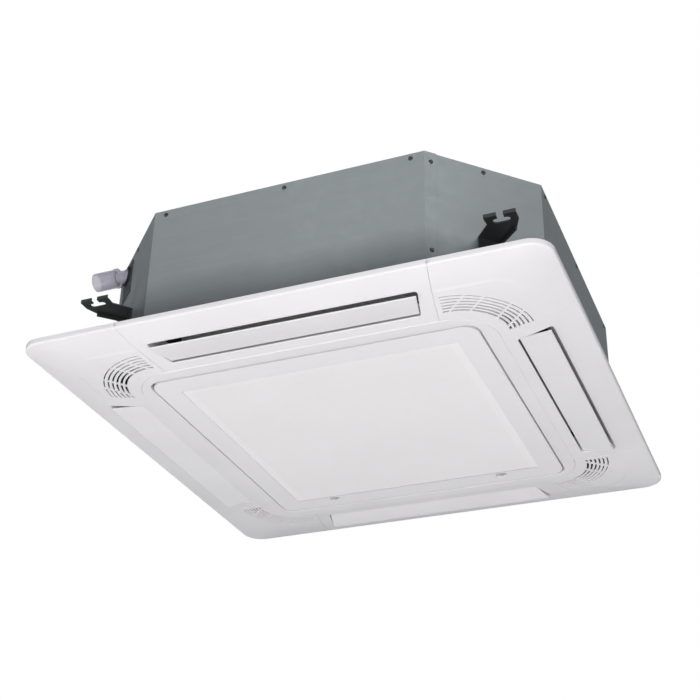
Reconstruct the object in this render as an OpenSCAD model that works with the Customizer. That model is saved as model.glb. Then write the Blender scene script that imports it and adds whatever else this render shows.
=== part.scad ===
// Four-way ceiling cassette air conditioner: ceiling panel, hung casing, coil, turbo fan and drain pump.
// The frame has +Z up, with the origin at the middle of the ceiling plane; the panel's front edge is -Y.

/* [Ceiling panel] */
// Side of the square ceiling panel
panel_w = 950; // [930:1:970]
// Corner radius of the panel's rim
panel_r = 40; // [25:1:60]
// Thickness of the panel's moulded skin
panel_wall = 2.5; // [2:0.1:3]
// Height of the upright rim
rim_h = 8; // [5:0.5:12]
// Width of the rounding between rim and face
rim_round = 3; // [1:0.5:5]
// Depth of the face below the ceiling at the outlets' outer edge
face_drop_outer = 21; // [18:0.5:23]
// Depth of the face at the outlets' inner edge
face_drop_inner = 27; // [25:0.5:28]
// Depth of the face at the edge of the inner ring
face_drop_ring = 28.5; // [28:0.1:29]
// Width of the flat flange round the panel's back
back_flange_w = 16; // [10:1:25]

/* [Intake] */
// Half width of the raised ring round the intake
ring_half = 335; // [331:1:340]
// Corner radius of the raised ring
ring_r = 78; // [60:1:90]
// Height of the step at the ring's edge
ring_step = 1; // [0.5:0.1:1.5]
// Half width of the intake opening in the panel
intake_half = 309; // [305:0.5:312]
// Corner radius of the intake opening
intake_r = 26; // [20:1:40]
// Corner radius of the intake grille
grille_r = 28; // [20:1:40]
// Gap round the intake grille
grille_gap = 3.5; // [2.5:0.1:4.5]
// Depth of the grille's rim
grille_depth = 12; // [10:0.5:13]
// Wall of the intake grille
grille_wall = 2.5; // [2:0.1:3]
// Half width of the slatted zone
slat_zone = 262; // [240:1:270]
// Pitch of the intake slats
slat_pitch = 8; // [6:0.5:12]
// Width of one slat
slat_w = 8.5; // [6:0.1:9]
// Thickness of one slat
slat_t = 1.4; // [1:0.1:2]
// Angle of the slats from level
slat_angle = 38; // [30:1:50]
// Number of stiffening bars behind the slats
rib_n = 6; // [3:1:9]
// Distance of the hinge axis inside the grille's front edge
hinge_inset = 15.5; // [14.5:0.1:16]
// Height of the hinge axis over the grille's face
hinge_rise = 6.8; // [6.7:0.1:7.2]
// Radius of the hinge pins
hinge_pin_r = 2; // [1.5:0.1:2.2]
// Distance of each hinge from the middle
hinge_x = 195; // [150:1:240]
// Distance of each latch from the middle
latch_x = 182; // [150:1:220]
// Distance of the latches behind the middle
latch_y = 276; // [272:1:280]
// Travel of a latch
latch_travel = 5; // [3:0.5:6]

/* [Outlets] */
// Distance of the outlets' outer edge from the middle
slot_outer = 422; // [418:0.5:426]
// Distance of the outlets' inner edge from the middle
slot_inner = 357; // [353:0.5:360]
// Half length of an outlet at its inner edge
slot_half = 230; // [215:1:233]
// Growth of the outlet's half length for each mm outwards
slot_splay = 0.246; // [0.2:0.002:0.25]
// Wall of the air ducts
duct_wall = 2.4; // [2:0.1:3]
// Height of the ducts' top over the ceiling plane
duct_top = 8; // [6:0.5:9]
// Distance of the ducts' outer wall from the middle at the top
duct_top_outer = 400; // [396:1:404]
// Distance of the ducts' inner wall from the middle at the top
duct_top_inner = 340; // [337:1:344]

/* [Vanes] */
// Clear gap between a vane and its outlet
vane_gap = 2.5; // [2:0.1:3.5]
// Clear gap between a vane and its outlet's inner edge
vane_gap_inner = 4.5; // [2:0.1:5]
// Thickness of a vane
vane_t = 2.6; // [2:0.1:3.5]
// Crown of a vane's lower face
vane_crown = 0.8; // [0:0.1:1.5]
// Distance of the vanes' pivot from the middle
pivot_r = 376; // [374:0.5:378]
// Depth of the vanes' pivot below the ceiling
pivot_drop = 16; // [15:0.5:17]
// Opening angle of the vanes as the unit is shown
vane_open = 11; // [5:0.5:20]
// Radius of a vane's pins
vane_pin_r = 2.5; // [2:0.1:3]
// Radius of a vane motor
vane_motor_r = 12; // [10:0.5:12.5]
// Offset of the vane motor's body from its output
vane_motor_offset = 8; // [6:0.5:9]
// Length of a vane motor
vane_motor_l = 12.5; // [10:0.5:13]

/* [Corner covers] */
// Half spacing of the seams at the raised ring
seam_inner = 254; // [250:0.5:256]
// Growth of the seams' spacing for each mm outwards
seam_slope = 0.16; // [0.12:0.005:0.2]
// Extra growth of the seams' spacing towards the rim
seam_bow = 0.00018; // [0:0.00001:0.0003]
// Gap at the seams and behind the covers
seam_gap = 0.4; // [0.3:0.05:0.6]
// Distance of the vent arcs' centre from both middle lines
vent_c = 275; // [270:0.5:280]
// Radius of the innermost vent arc
vent_r0 = 83; // [80:0.5:86]
// Pitch of the vent arcs
vent_pitch = 8.4; // [8:0.1:9]
// Width of a vent slot
vent_w = 5; // [4:0.1:5.5]
// Number of vent arcs
vent_n = 6; // [4:1:6]
// Distance of the inner ribs from the diagonal
vent_rib_1 = 25; // [20:0.5:30]
// Distance of the outer ribs from the diagonal
vent_rib_2 = 54.5; // [50:0.5:58]
// Width of the vent ribs
vent_rib_w = 3.5; // [3:0.1:4.5]
// Margin between vents and seams
vent_margin = 10; // [8:0.5:12]

/* [Casing] */
// Side of the square that the casing fits
body_w = 840; // [830:1:850]
// Leg of the casing's cut corners
chamfer = 160; // [150:1:165]
// Height of the casing's top over the ceiling plane
body_top = 260; // [256:1:300]
// Height of the casing's lower edge over the ceiling plane
body_base = 12; // [11:0.5:12.5]
// Thickness of the sheet metal
sheet = 1.2; // [0.8:0.1:1.5]
// Gap between overlapping sheets
sheet_gap = 0.2; // [0.1:0.05:0.3]
// Width of the side panels' overlap on the next corner plate
overlap_w = 22; // [18:1:30]
// Height of the top plate's turned edge
top_flange = 18; // [14:1:25]
// Width of the lower flange
base_flange = 15; // [10:1:15]
// Depth of the lower flange under the cut corners
corner_flange = 46; // [42:1:50]
// Half length of the lower flange's deep part
corner_flange_half = 70; // [60:1:75]
// Radius of the casing screws' shank
screw_r = 2; // [1.5:0.1:2.5]
// Distance of the side screws from the middle
side_screw_x = 235; // [200:1:245]
// Distance of the top screws below the top
screw_drop = 10; // [8:0.5:12]
// Thickness of the foam liner
liner_t = 14; // [10:0.5:16]
// Radius of the liner's opening over the motor
liner_hole_r = 95; // [85:1:110]

/* [Hangers] */
// Spacing of the hanger slots along X
hang_x = 760; // [756:1:764]
// Spacing of the hanger slots along Y
hang_y = 770; // [766:1:774]
// Height of the hanger plates' top over the ceiling plane
hang_z = 112; // [90:1:130]
// Thickness of the hanger plate
hang_t = 2.5; // [2:0.1:3.5]
// Width of a hanger slot
hang_slot_w = 12; // [11:0.5:13]
// Length of a hanger slot
hang_slot_l = 30; // [26:0.5:32]
// Width of a slot's mouth
hang_mouth = 12; // [11:0.5:13]
// Width of the hanger's fork
fork_w = 55; // [52:0.5:60]
// Height of the fork's turned-up ends
fork_lip = 4.5; // [3:0.5:10]
// Height of the hanger's foot on the casing
foot_h = 52; // [40:1:60]

/* [Drain pan and bellmouth] */
// Height of the drain pan's top over the ceiling plane
pan_top = 62; // [60:1:64]
// Half width of the pan's middle opening
pan_open = 262; // [258:1:264]
// Corner radius of the pan's middle opening
pan_open_r = 60; // [50:1:70]
// Gap between the pan and the casing
pan_gap = 4.6; // [4.4:0.1:6]
// Depth of the pan's water trough
trough_depth = 14; // [8:0.5:18]
// Margin of the trough round the coil
trough_margin = 3; // [2:0.5:4]
// Height of the bellmouth's deck over the ceiling plane
deck_z = 45; // [43:0.5:47]
// Radius of the bellmouth's throat
throat_r = 155; // [150:1:157]
// Radius at which the bellmouth's curve meets its deck
bell_r = 200; // [190:1:205]
// Height of the throat's end over the ceiling plane
throat_top = 82; // [78:1:84]
// Wall of the bellmouth
bell_wall = 2.5; // [2:0.1:3]

/* [Coil] */
// Height of the cable's way through the right rear corner
cable_z = 165; // [140:1:200]
// Half width of the coil
coil_half = 315; // [310:1:317]
// Outer corner radius of the coil
coil_r = 110; // [100:1:120]
// Depth of the coil's fins
coil_depth = 40; // [30:1:42]
// Gap between the coil and the liner above it
coil_gap = 0.5; // [0.3:0.1:1]
// Half angle of the coil's open corner
coil_mouth = 27; // [24:1:30]
// Pitch of the fin grooves
fin_pitch = 20; // [14:1:40]
// Width of a fin groove
fin_groove = 2; // [1:0.5:3]
// Number of return bends at each end of the coil
bend_n = 6; // [4:1:6]
// Radius of the coil's tubes
tube_r = 3.5; // [3:0.1:4.5]
// Radius of a return bend
bend_r = 12; // [10:0.5:12.5]
// Radius of the gas pipe
gas_r = 7.94; // [6.35:0.01:9.5]
// Radius of the liquid pipe
liquid_r = 4.76; // [3.2:0.01:6.35]
// Wall of the pipes
pipe_wall = 1; // [0.7:0.1:1.1]
// Distance of the pipes behind the middle
pipe_y = 300; // [296:1:304]
// Height of the gas pipe
gas_z = 190; // [170:1:200]
// Height of the liquid pipe
liquid_z = 145; // [120:1:155]
// Length of the pipes and unions outside the casing
pipe_out = 62; // [55:1:75]
// Length of a union's round stub
union_l = 22; // [15:1:25]
// Wall of the unions' round stubs over the pipe
union_wall = 1.6; // [1.2:0.1:2]

/* [Fan] */
// Radius of the fan
fan_r = 226; // [215:1:230]
// Height of the fan's hub plate
hub_z = 197; // [190:1:200]
// Thickness of the hub plate
hub_t = 3; // [2:0.1:4]
// Radius of the hub's cup round the motor
cup_r = 68; // [66:1:75]
// Height of the cup's bottom
cup_z = 124; // [120:1:128]
// Radius of the fan's boss
boss_r = 15; // [12:0.5:20]
// Height of the boss's lower end
boss_z = 108; // [104:1:112]
// Gap between the throat and the shroud
shroud_gap = 5.5; // [4:0.5:8]
// Height of the shroud's mouth
shroud_z = 72; // [70:1:76]
// Height of the shroud over its mouth
shroud_h = 40; // [30:1:50]
// Thickness of the shroud
shroud_t = 2.2; // [1.6:0.1:3]
// Number of blades
blade_n = 7; // [5:1:9]
// Radius of the blades' inner edge
blade_in = 118; // [105:1:130]
// Angle that a blade sweeps through
blade_sweep = 42; // [30:1:50]
// Greatest thickness of a blade
blade_t = 9; // [6:0.5:12]
// Radius of the fan shaft
shaft_r = 6; // [5:0.5:8]
// Running clearance of pins and shafts
run_gap = 0.05; // [0.02:0.01:0.1]
// Radius of the fan motor
motor_r = 58; // [50:1:60]
// Height of the motor's lower face
motor_z = 136; // [132:1:140]
// Height of the motor's upper face
motor_top = 226; // [215:1:230]
// Radius of the motor's feet circle
motor_foot_r = 76; // [72:1:80]

/* [Drain] */
// Distance of the drain from the middle, towards the front
drain_y = 297; // [294:1:300]
// Height of the drain over the ceiling plane
drain_z = 226; // [222:1:230]
// Inner radius of the drain socket
socket_r = 16; // [13:0.5:16]
// Wall of the drain socket
socket_wall = 2; // [1.5:0.1:2.5]
// Length of the drain socket
socket_l = 50; // [40:1:55]
// Depth of the socket's bore
socket_depth = 44; // [35:1:46]
// Distance of the socket's end from the middle
socket_end = 452; // [450:1:465]
// Outer radius of the drain neck
neck_r = 13; // [12:0.5:13]
// Distance of the pump from the middle, towards the left
pump_x = 306; // [304:1:308]
// Radius of the pump
pump_r = 22; // [18:0.5:22.5]
// Radius of the pump's impeller
impeller_r = 12; // [10:0.5:12.5]
// Depth of the pan's pump well below the pan's top
well_depth = 34; // [30:1:36]
// Radius of the float
float_r = 13; // [10:0.5:14]
// Height of the float
float_h = 14; // [10:0.5:16]
// Travel of the float
float_travel = 14; // [8:0.5:16]
// Radius of the float's stem
stem_r = 3; // [2:0.1:4]

/* [Control box] */
// Length of the control box
box_l = 240; // [200:1:260]
// Width of the control box
box_w = 70; // [60:1:72]
// Height of the control box
box_h = 38; // [30:1:39]

/* [Hidden] */
$fn = 48;
eps = 0.01;
root2 = sqrt(2);
front = 0;
right = 1;
back = 2;
left = 3;

panel_half = panel_w / 2;
grille_half = intake_half - grille_gap;
ring_z = -face_drop_ring - ring_step;
grille_face = ring_z;
grille_top = grille_face + grille_depth;
ledge_z = -6.5;
ledge_t = 2.5;
ledge_w = 14;
hinge_y = grille_half - hinge_inset;
hinge_z = grille_face + hinge_rise;
corner_inset = seam_gap + panel_wall;
seam_rib = 4;
shelf_z = -12.5;
shelf_half = 446;
shelf_r = 50;
slot_slope = (face_drop_inner - face_drop_outer) / (slot_outer - slot_inner);

body_half = body_w / 2;
cut_sum = body_w - chamfer;
cut_half = body_half - chamfer;
sheet_step = sheet + sheet_gap;
top_inset = sheet_step;
top_cut_inset = sheet_step + sheet + sheet_gap;
liner_gap = top_cut_inset + sheet + sheet_gap + 0.3;
liner_top = body_top - sheet - sheet_gap;
pan_base = body_base + sheet + 0.3;
coil_base = pan_top - trough_depth + 0.4;
coil_top = liner_top - liner_t - coil_gap;
coil_arc = coil_half - coil_r;
cut_dist = cut_sum / root2;
screw_l = 2 * sheet_step + 1.4;
screw_hole_r = screw_r + 0.2;
screw_head_r = 4.2;
screw_head_h = 2;
fork_bar = 9.5;
panel_bolt = [346.5, 282.8];
panel_bolt_r = 2.5;
socket_start = socket_end - socket_l;
plate_x = cut_sum - drain_y;
shroud_r = throat_r + bell_wall + shroud_gap + shroud_t;
pump_base = pan_top + 2;
pump_top = 200;
box_y = pan_open - bell_wall - 4 - box_w;
box_top = deck_z - bell_wall - 0.3;

// Plan of a square with rounded corners
module rsq(half, r) {
    square([2 * half, 2 * (half - r)], center = true);
    square([2 * (half - r), 2 * half], center = true);
    for (x = [-1, 1], y = [-1, 1]) translate([x * (half - r), y * (half - r)]) circle(r);
}

// Plan of the casing, with its sides and its cut corners set in by their own amounts
module octagon(side_in, cut_in) {
    b = body_half - side_in;
    e = cut_sum - root2 * cut_in - b;
    polygon([[-e, -b], [e, -b], [b, -e], [b, e], [e, b], [-e, b], [-b, e], [-b, -e]]);
}

// Turns a piece drawn at the front (-Y) to one of the four sides
module at_side(k) {
    rotate([0, 0, 90 * k]) children();
}

// Extrudes a profile drawn as [distance outwards, height] along a side's length
module along_side(half) {
    translate([-half, 0, 0]) rotate([90, 0, 90]) mirror([1, 0, 0]) linear_extrude(2 * half) children();
}

// Draws at a cut corner: x along the corner's face, y outwards from it, z up; k = 0 is front right
module at_corner(k) {
    rotate([0, 0, 90 * k - 135]) translate([0, cut_dist, 0]) children();
}

// Face of the panel from rim to ring as [distance from the middle, height, corner radius]
face = [[panel_half, -rim_h, panel_r], [panel_half - rim_round, -rim_h - rim_round, panel_r - 1],
    [slot_outer, -face_drop_outer, panel_r + 20], [slot_inner, -face_drop_inner, ring_r - 8],
    [ring_half - 1, -face_drop_ring, ring_r]];

// Crowned block under the panel's face, as a stack of frusta; t sets it in
module panel_block(t, top) {
    rows = concat([[panel_half, top - t, panel_r]], face);
    for (i = [0:len(rows) - 2]) hull() for (w = [rows[i], rows[i + 1]])
        translate([0, 0, w[1] + t]) linear_extrude(0.05) rsq(w[0] - t, w[2] - t / 2, $fn = 32);
}

// Cross-section of the skin between two seams, with wall w
function skin_profile(w) = concat([[panel_half, 0]], [for (f = face) [f[0], f[1]]],
    [for (i = [len(face) - 1:-1:0]) [min(face[i][0], panel_half - w), face[i][1] + w]], [[panel_half - w, 0]]);

function seam_x(r) = seam_inner + seam_slope * (r - ring_half) + seam_bow * pow(r - ring_half, 2);

// Plan of one corner zone, between two seams and the raised ring; g shrinks it
module corner_zone(g) {
    reach = panel_half + 5;
    n = 6;
    seam = [for (i = [0:n]) ring_half + i * (reach - ring_half) / n];
    difference() {
        polygon(concat([for (r = seam) [seam_x(r) + g, r]], [[reach, reach]],
            [for (i = [n:-1:0]) [seam[i], seam_x(seam[i]) + g]], [[0, 0]]));
        rsq(ring_half + g, ring_r + g);
    }
}

// Plan of one outlet, grown by g, at the front; it ends on splayed lines
module outlet_plan(inner, outer, g) {
    a = slot_half + slot_splay * (inner - slot_inner) + g;
    b = slot_half + slot_splay * (outer - slot_inner) + g;
    polygon([[-a, -inner], [a, -inner], [b, -outer], [-b, -outer]]);
}

// Cross-section of the duct from the panel's face up to the drain pan: walls grow it by g
module duct_section(g) {
    low = g > 0 ? 1 : -9;
    polygon([[slot_inner - g - 1.5, -face_drop_inner + low], [slot_outer + g, -face_drop_outer + low],
        [slot_outer + g, 1 - face_drop_outer], [slot_outer - 12 + g, -6],
        [duct_top_outer + g, duct_top + eps], [duct_top_inner - g, duct_top + eps],
        [slot_inner - 10 - g, -6], [slot_inner - g - 1.5, 1.2 - face_drop_inner]]);
}

// The air space of one duct, or with g the block that its walls are cut from
module duct_block(g) {
    intersection() {
        along_side(panel_half) duct_section(g);
        translate([0, 0, -50]) linear_extrude(50 + duct_top + (g > 0 ? 0 : 1))
            outlet_plan(duct_top_inner - g, slot_outer + g + 1, g);
    }
}

// Window in the panel behind the vents of one corner
module vent_window() {
    intersection() {
        difference() {
            translate([vent_c, vent_c]) circle(vent_r0 + vent_pitch * vent_n);
            translate([vent_c, vent_c]) circle(vent_r0 - 3);
        }
        vent_sector(vent_margin - 2);
    }
}

// Plan between the two seams, set in by m
module vent_sector(m) {
    polygon([[seam_x(ring_half) + m, ring_half], [seam_x(panel_half) + m, panel_half],
        [panel_half, panel_half], [panel_half, seam_x(panel_half) + m], [ring_half, seam_x(ring_half) + m]]);
}

// The arc slots of one corner, broken by ribs that run along the diagonal
module vent_slots() {
    difference() {
        intersection() {
            translate([vent_c, vent_c]) for (i = [0:vent_n - 1]) difference() {
                circle(vent_r0 + i * vent_pitch + vent_w / 2);
                circle(vent_r0 + i * vent_pitch - vent_w / 2);
            }
            vent_sector(vent_margin);
        }
        translate([vent_c, vent_c]) rotate(45) for (d = [vent_rib_1, vent_rib_2], s = [-1, 1])
            translate([0, s * d - vent_rib_w / 2]) square([panel_half, vent_rib_w]);
    }
}

module corner_covers() {
    color([0.92, 0.92, 0.93]) for (k = [0:3]) at_side(k) difference() {
        intersection() {
            difference() {
                panel_block(0, 0);
                panel_block(panel_wall, 6);
            }
            translate([0, 0, -50]) linear_extrude(60) corner_zone(seam_gap);
        }
        translate([0, 0, -50]) linear_extrude(60) vent_slots();
    }
}

module slab(z0, z1) {
    translate([0, 0, z0]) linear_extrude(z1 - z0) children();
}

// Plan of the zone between two seams at the front
module side_zone(m) {
    reach = panel_half + 5;
    n = 6;
    seam = [for (i = [0:n]) ring_half - 3 + i * (reach - ring_half + 3) / n];
    polygon(concat([for (r = seam) [-seam_x(r) + m, -r]], [for (i = [n:-1:0]) [seam_x(seam[i]) - m, -seam[i]]]));
}

// One side of the panel: its skin and a rib under each seam
module side_skin() {
    intersection() {
        along_side(panel_half) polygon(skin_profile(panel_wall));
        slab(-50, 10) side_zone(0);
    }
    intersection() {
        along_side(panel_half) polygon([[shelf_half, shelf_z + 1], [shelf_half, -face_drop_outer + 5],
            [slot_outer, -face_drop_outer + 1], [slot_inner, -face_drop_inner + 1],
            [ring_half + 1, -face_drop_ring + 1], [ring_half + 1, shelf_z + 1]]);
        slab(-50, 10) difference() {
            side_zone(0);
            side_zone(seam_rib);
        }
    }
}

// Shelf of the frame under one corner cover, with an upright edge
module corner_shelf() {
    intersection() {
        difference() {
            slab(shelf_z, -panel_wall) rsq(shelf_half, shelf_r);
            slab(shelf_z + panel_wall, 1) rsq(shelf_half - panel_wall, shelf_r - panel_wall);
        }
        slab(-50, 10) corner_zone(0.05);
    }
}

module hinge_lugs() {
    for (s = [-1, 1], d = [-1, 1]) translate([s * hinge_x + d * 13, 0, 0]) {
        translate([-2, -hinge_y, hinge_z]) rotate([0, 90, 0]) cylinder(r = hinge_pin_r + 1.8, h = 4);
        translate([-2, -hinge_y - 3.8, hinge_z]) cube([4, 7.6, ledge_z - hinge_z + 1]);
        translate([-2.5, -intake_half + 1, ledge_z]) cube([5, intake_half - 1 - hinge_y + 3.8, ledge_t]);
    }
}

// Raised ring round the intake, with the upright wall of the opening
module panel_ring() {
    color([0.93, 0.93, 0.94]) difference() {
        union() {
            slab(ring_z, ring_z + panel_wall + ring_step) rsq(ring_half, ring_r);
            slab(ring_z, duct_top) rsq(intake_half + panel_wall, intake_r + panel_wall);
        }
        slab(ring_z - 1, duct_top + 1) rsq(intake_half, intake_r);
    }
}

// Ledge inside the opening that the grille closes against, with the lugs of its hinge
module grille_seat() {
    color([0.90, 0.90, 0.91]) difference() {
        union() {
            slab(ledge_z, ledge_z + ledge_t) difference() {
                rsq(intake_half, intake_r);
                rsq(intake_half - ledge_w, intake_r);
            }
            hinge_lugs();
        }
        translate([-panel_half, -hinge_y, hinge_z]) rotate([0, 90, 0])
            cylinder(r = hinge_pin_r, h = panel_w);
    }
}

// Flat flange round the panel's back, which lies against the ceiling
module back_flange() {
    color([0.93, 0.93, 0.94]) slab(-panel_wall, 0) difference() {
        rsq(panel_half - corner_inset, panel_r + 0.5);
        rsq(shelf_half - back_flange_w, panel_r - 15);
    }
}

// Four sides of the panel, each with its skin, air duct and vane bearings
module panel_sides() {
    color([0.93, 0.93, 0.94]) for (k = [0:3]) at_side(k) difference() {
        union() {
            side_skin();
            duct_block(duct_wall);
            vane_bearings();
        }
        duct_block(0);
        pin_bores();
        slab(ring_z - 1, 0) rsq(ring_half, ring_r);
    }
}

// Four corners of the frame under the vented covers: shelf, upright edge and bolt boss
module panel_corners() {
    color([0.93, 0.93, 0.94]) for (k = [0:3]) at_side(k) difference() {
        union() {
            corner_shelf();
            translate([panel_bolt[0], panel_bolt[1], -23.5]) cylinder(r = 7, h = 23.5 + body_base - 0.3);
        }
        translate([0, 0, -50]) linear_extrude(60) vent_window();
        translate([panel_bolt[0], panel_bolt[1], -40]) cylinder(r = panel_bolt_r + 0.3, h = 80);
        translate([panel_bolt[0], panel_bolt[1], -40]) cylinder(r = 5.5, h = 26);
    }
}

function end_at(r) = slot_half + slot_splay * (r - slot_inner);
bearing_out = 4;

// Bosses on the duct's end walls that carry a vane's pins
module vane_bearings() {
    for (s = [-1, 1]) translate([s * (end_at(pivot_r) + duct_wall), -pivot_r, -pivot_drop])
        rotate([0, s * 90, 0]) translate([0, 0, -1]) cylinder(r = vane_pin_r + 2.4, h = bearing_out + 1);
}

module pin_bores() {
    translate([-panel_half, -pivot_r, -pivot_drop]) rotate([0, 90, 0])
        cylinder(r = vane_pin_r + run_gap, h = panel_w);
}

// Cross-section of a closed vane, with its lower face crowned
module vane_section() {
    inner = slot_inner + vane_gap_inner;
    outer = slot_outer - vane_gap;
    n = 8;
    lower = [for (i = [0:n]) let (t = i / n, r = inner + t * (outer - inner))
        [r, -face_drop_inner + slot_slope * (r - slot_inner) - vane_crown * 4 * t * (1 - t) + 0.5]];
    polygon(concat(lower, [for (i = [n:-1:0]) [lower[i][0], lower[i][1] + vane_t]]));
}

// A vane as shown, turned open about its pivot; it has an arm and a pin at each end
module vane(k) {
    arm_x = end_at(slot_inner) - vane_gap - 4;
    pin_end = end_at(pivot_r) + duct_wall + bearing_out + 3;
    color([0.90, 0.90, 0.91]) at_side(k)
        translate([0, -pivot_r, -pivot_drop]) rotate([vane_open, 0, 0])
        translate([0, pivot_r, pivot_drop]) {
            intersection() {
                along_side(panel_half) vane_section();
                slab(-60, 0) outlet_plan(slot_inner, slot_outer, -vane_gap);
            }
            for (s = [-1, 1]) translate([s * (arm_x - 1.5), 0, 0]) {
                translate([-1.5, 0, 0]) rotate([90, 0, 90]) mirror([1, 0, 0]) linear_extrude(3) polygon([
                    [pivot_r - 5, -pivot_drop], [pivot_r - 9, -face_drop_inner + 3.5],
                    [pivot_r + 26, -face_drop_outer - 1], [pivot_r + 5, -pivot_drop + 2]]);
                translate([-1.5, -pivot_r, -pivot_drop]) rotate([0, 90, 0]) cylinder(r = 5.4, h = 3);
            }
            for (s = [-1, 1]) translate([s * (arm_x - 2), -pivot_r, -pivot_drop])
                rotate([0, s * 90, 0]) cylinder(r = vane_pin_r, h = pin_end - arm_x + 2);
        }
}

// Stepper motors that turn the vanes, each by its right-hand pin
module vane_motors() {
    x0 = end_at(pivot_r) + duct_wall + bearing_out;
    color([0.75, 0.76, 0.78]) for (k = [0:3]) at_side(k) difference() {
        translate([x0 + 0.3, -pivot_r, -pivot_drop + vane_motor_offset]) rotate([0, 90, 0]) union() {
            cylinder(r = vane_motor_r, h = vane_motor_l);
            translate([-2.5, -vane_motor_r - 4, 0]) cube([5, 2 * vane_motor_r + 8, 1.5]);
        }
        translate([x0, -pivot_r, -pivot_drop]) rotate([0, 90, 0])
            cylinder(r = vane_pin_r + run_gap, h = 6);
    }
}

module duct_gaskets() {
    color([0.25, 0.25, 0.26]) for (k = [0:3]) at_side(k) slab(duct_top + 0.2, body_base + sheet) difference() {
        outlet_plan(duct_top_inner - duct_wall, duct_top_outer + duct_wall, duct_wall);
        outlet_plan(duct_top_inner, duct_top_outer, 0);
    }
}

module panel_screws() {
    color("silver") for (k = [0:3]) rotate([0, 0, 90 * k]) translate([panel_bolt[0], panel_bolt[1], 0]) {
        translate([0, 0, -14.2 - 3.5]) cylinder(r = 5, h = 3.5);
        translate([0, 0, -14.5]) cylinder(r = panel_bolt_r, h = 14.5 + pan_base + 9);
    }
}

// Intake grille: rim, flat border and a field of slats that lean towards the front
module intake_grille() {
    n = floor(2 * slat_zone / slat_pitch);
    color([0.92, 0.92, 0.91]) difference() {
        union() {
            slab(grille_face, grille_face + grille_wall) difference() {
                rsq(grille_half, grille_r);
                square(2 * slat_zone, center = true);
            }
            slab(grille_face, grille_top) difference() {
                rsq(grille_half, grille_r);
                rsq(grille_half - grille_wall, grille_r - grille_wall);
            }
            slab(grille_face, grille_face + 6.5) difference() {
                square(2 * slat_zone + 4, center = true);
                square(2 * slat_zone, center = true);
            }
            for (i = [0:n - 1]) translate([0, (i + 0.5) * slat_pitch - n * slat_pitch / 2, 0])
                translate([-slat_zone - 1, 0, grille_face + 2.8]) rotate([-slat_angle, 0, 0])
                    translate([0, -slat_w / 2, -slat_t / 2]) cube([2 * slat_zone + 2, slat_w, slat_t]);
            for (i = [1:rib_n]) translate([-slat_zone + i * 2 * slat_zone / (rib_n + 1) - 1,
                -slat_zone - 1, grille_face + 4]) cube([2, 2 * slat_zone + 2, 4]);
            for (s = [0, 1]) mirror([s, 0, 0]) translate([filter_half + 0.5, -filter_half, grille_face + 1]) {
                cube([2, 2 * filter_half, filter_base - grille_face + 6]);
                translate([-6, 0, filter_base - grille_face + 4.5]) cube([7, 2 * filter_half, 1.5]);
                translate([-8, 0, filter_base - grille_face - 3]) cube([9, 2 * filter_half, 1.8]);
            }
            for (s = [-1, 1]) translate([s * hinge_x - 10, -hinge_y, hinge_z]) {
                rotate([0, 90, 0]) cylinder(r = hinge_pin_r + 2, h = 20);
                translate([0, -hinge_inset + 1, -2]) cube([20, hinge_inset - 1, 4]);
                translate([0, -2, grille_wall - hinge_rise - 0.5]) cube([20, 4, hinge_rise - grille_wall]);
            }
        }
        translate([-panel_half, -hinge_y, hinge_z]) rotate([0, 90, 0])
            cylinder(r = hinge_pin_r + run_gap, h = panel_w);
        for (s = [-1, 1], d = [-1, 1]) translate([s * hinge_x + d * 13 - 3, -grille_half - 1,
            grille_face + grille_wall]) cube([6, hinge_inset + 6, grille_depth]);
        for (s = [-1, 1]) translate([s * latch_x - 11, latch_y - 4.5 - latch_travel, grille_face - 1])
            cube([22, 9 + latch_travel, grille_wall + 2]);
        for (s = [-1, 1]) translate([s * latch_x - 6.3, latch_y, grille_face + grille_wall + 1])
            cube([12.6, 60, 3.2]);
    }
}

// Slide latch: a knob in the grille's border and a tongue that reaches the panel's edge
module latch(s) {
    color([0.80, 0.80, 0.81]) translate([s * latch_x, latch_y, 0]) {
        translate([-3, -4, grille_face + 0.4]) cube([6, 8, grille_wall + 1]);
        translate([-16, -5, grille_face + grille_wall + 0.3]) cube([32, 13, 1]);
        translate([-6, 0, grille_face + grille_wall + 1.3]) cube([12, intake_half - latch_y - 8.5, 2.6]);
    }
}

module grille_hinge_pins() {
    color("silver") for (s = [-1, 1]) translate([s * hinge_x - 17, -hinge_y, hinge_z])
        rotate([0, 90, 0]) cylinder(r = hinge_pin_r, h = 34);
}

filter_base = grille_face + 8.3;
filter_half = slat_zone + 8;

// Frame of the air filter, which lies on the grille's bars
module filter_frame() {
    color([0.35, 0.36, 0.38]) slab(filter_base, filter_base + 4) {
        difference() {
            square(2 * filter_half, center = true);
            square(2 * filter_half - 16, center = true);
        }
        for (i = [-2:2]) translate([i * filter_half / 3, 0]) square([3, 2 * filter_half - 10], center = true);
    }
}

// Filter mesh, held on top of its frame
module air_filter() {
    color([0.30, 0.32, 0.34]) slab(filter_base + 4, filter_base + 5)
        square(2 * filter_half - 6, center = true);
}

// One side panel: a corner plate, the side and the overlap on the next corner plate
module side_wall_plan() {
    b = body_half;
    u = sheet_step;
    far = b - u;
    ret = overlap_w / root2;
    polygon([[-far, -(cut_sum - root2 * u - far)], [-(cut_sum - root2 * u - b), -b], [cut_half, -b],
        [cut_half + ret, -b + ret], [cut_half + ret - sheet / root2, -b + ret + sheet / root2],
        [cut_sum - root2 * sheet - (b - sheet), -(b - sheet)],
        [-(cut_sum - root2 * (u + sheet) - (b - sheet)), -(b - sheet)],
        [-far, -(cut_sum - root2 * (u + sheet) - far)]]);
}

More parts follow.
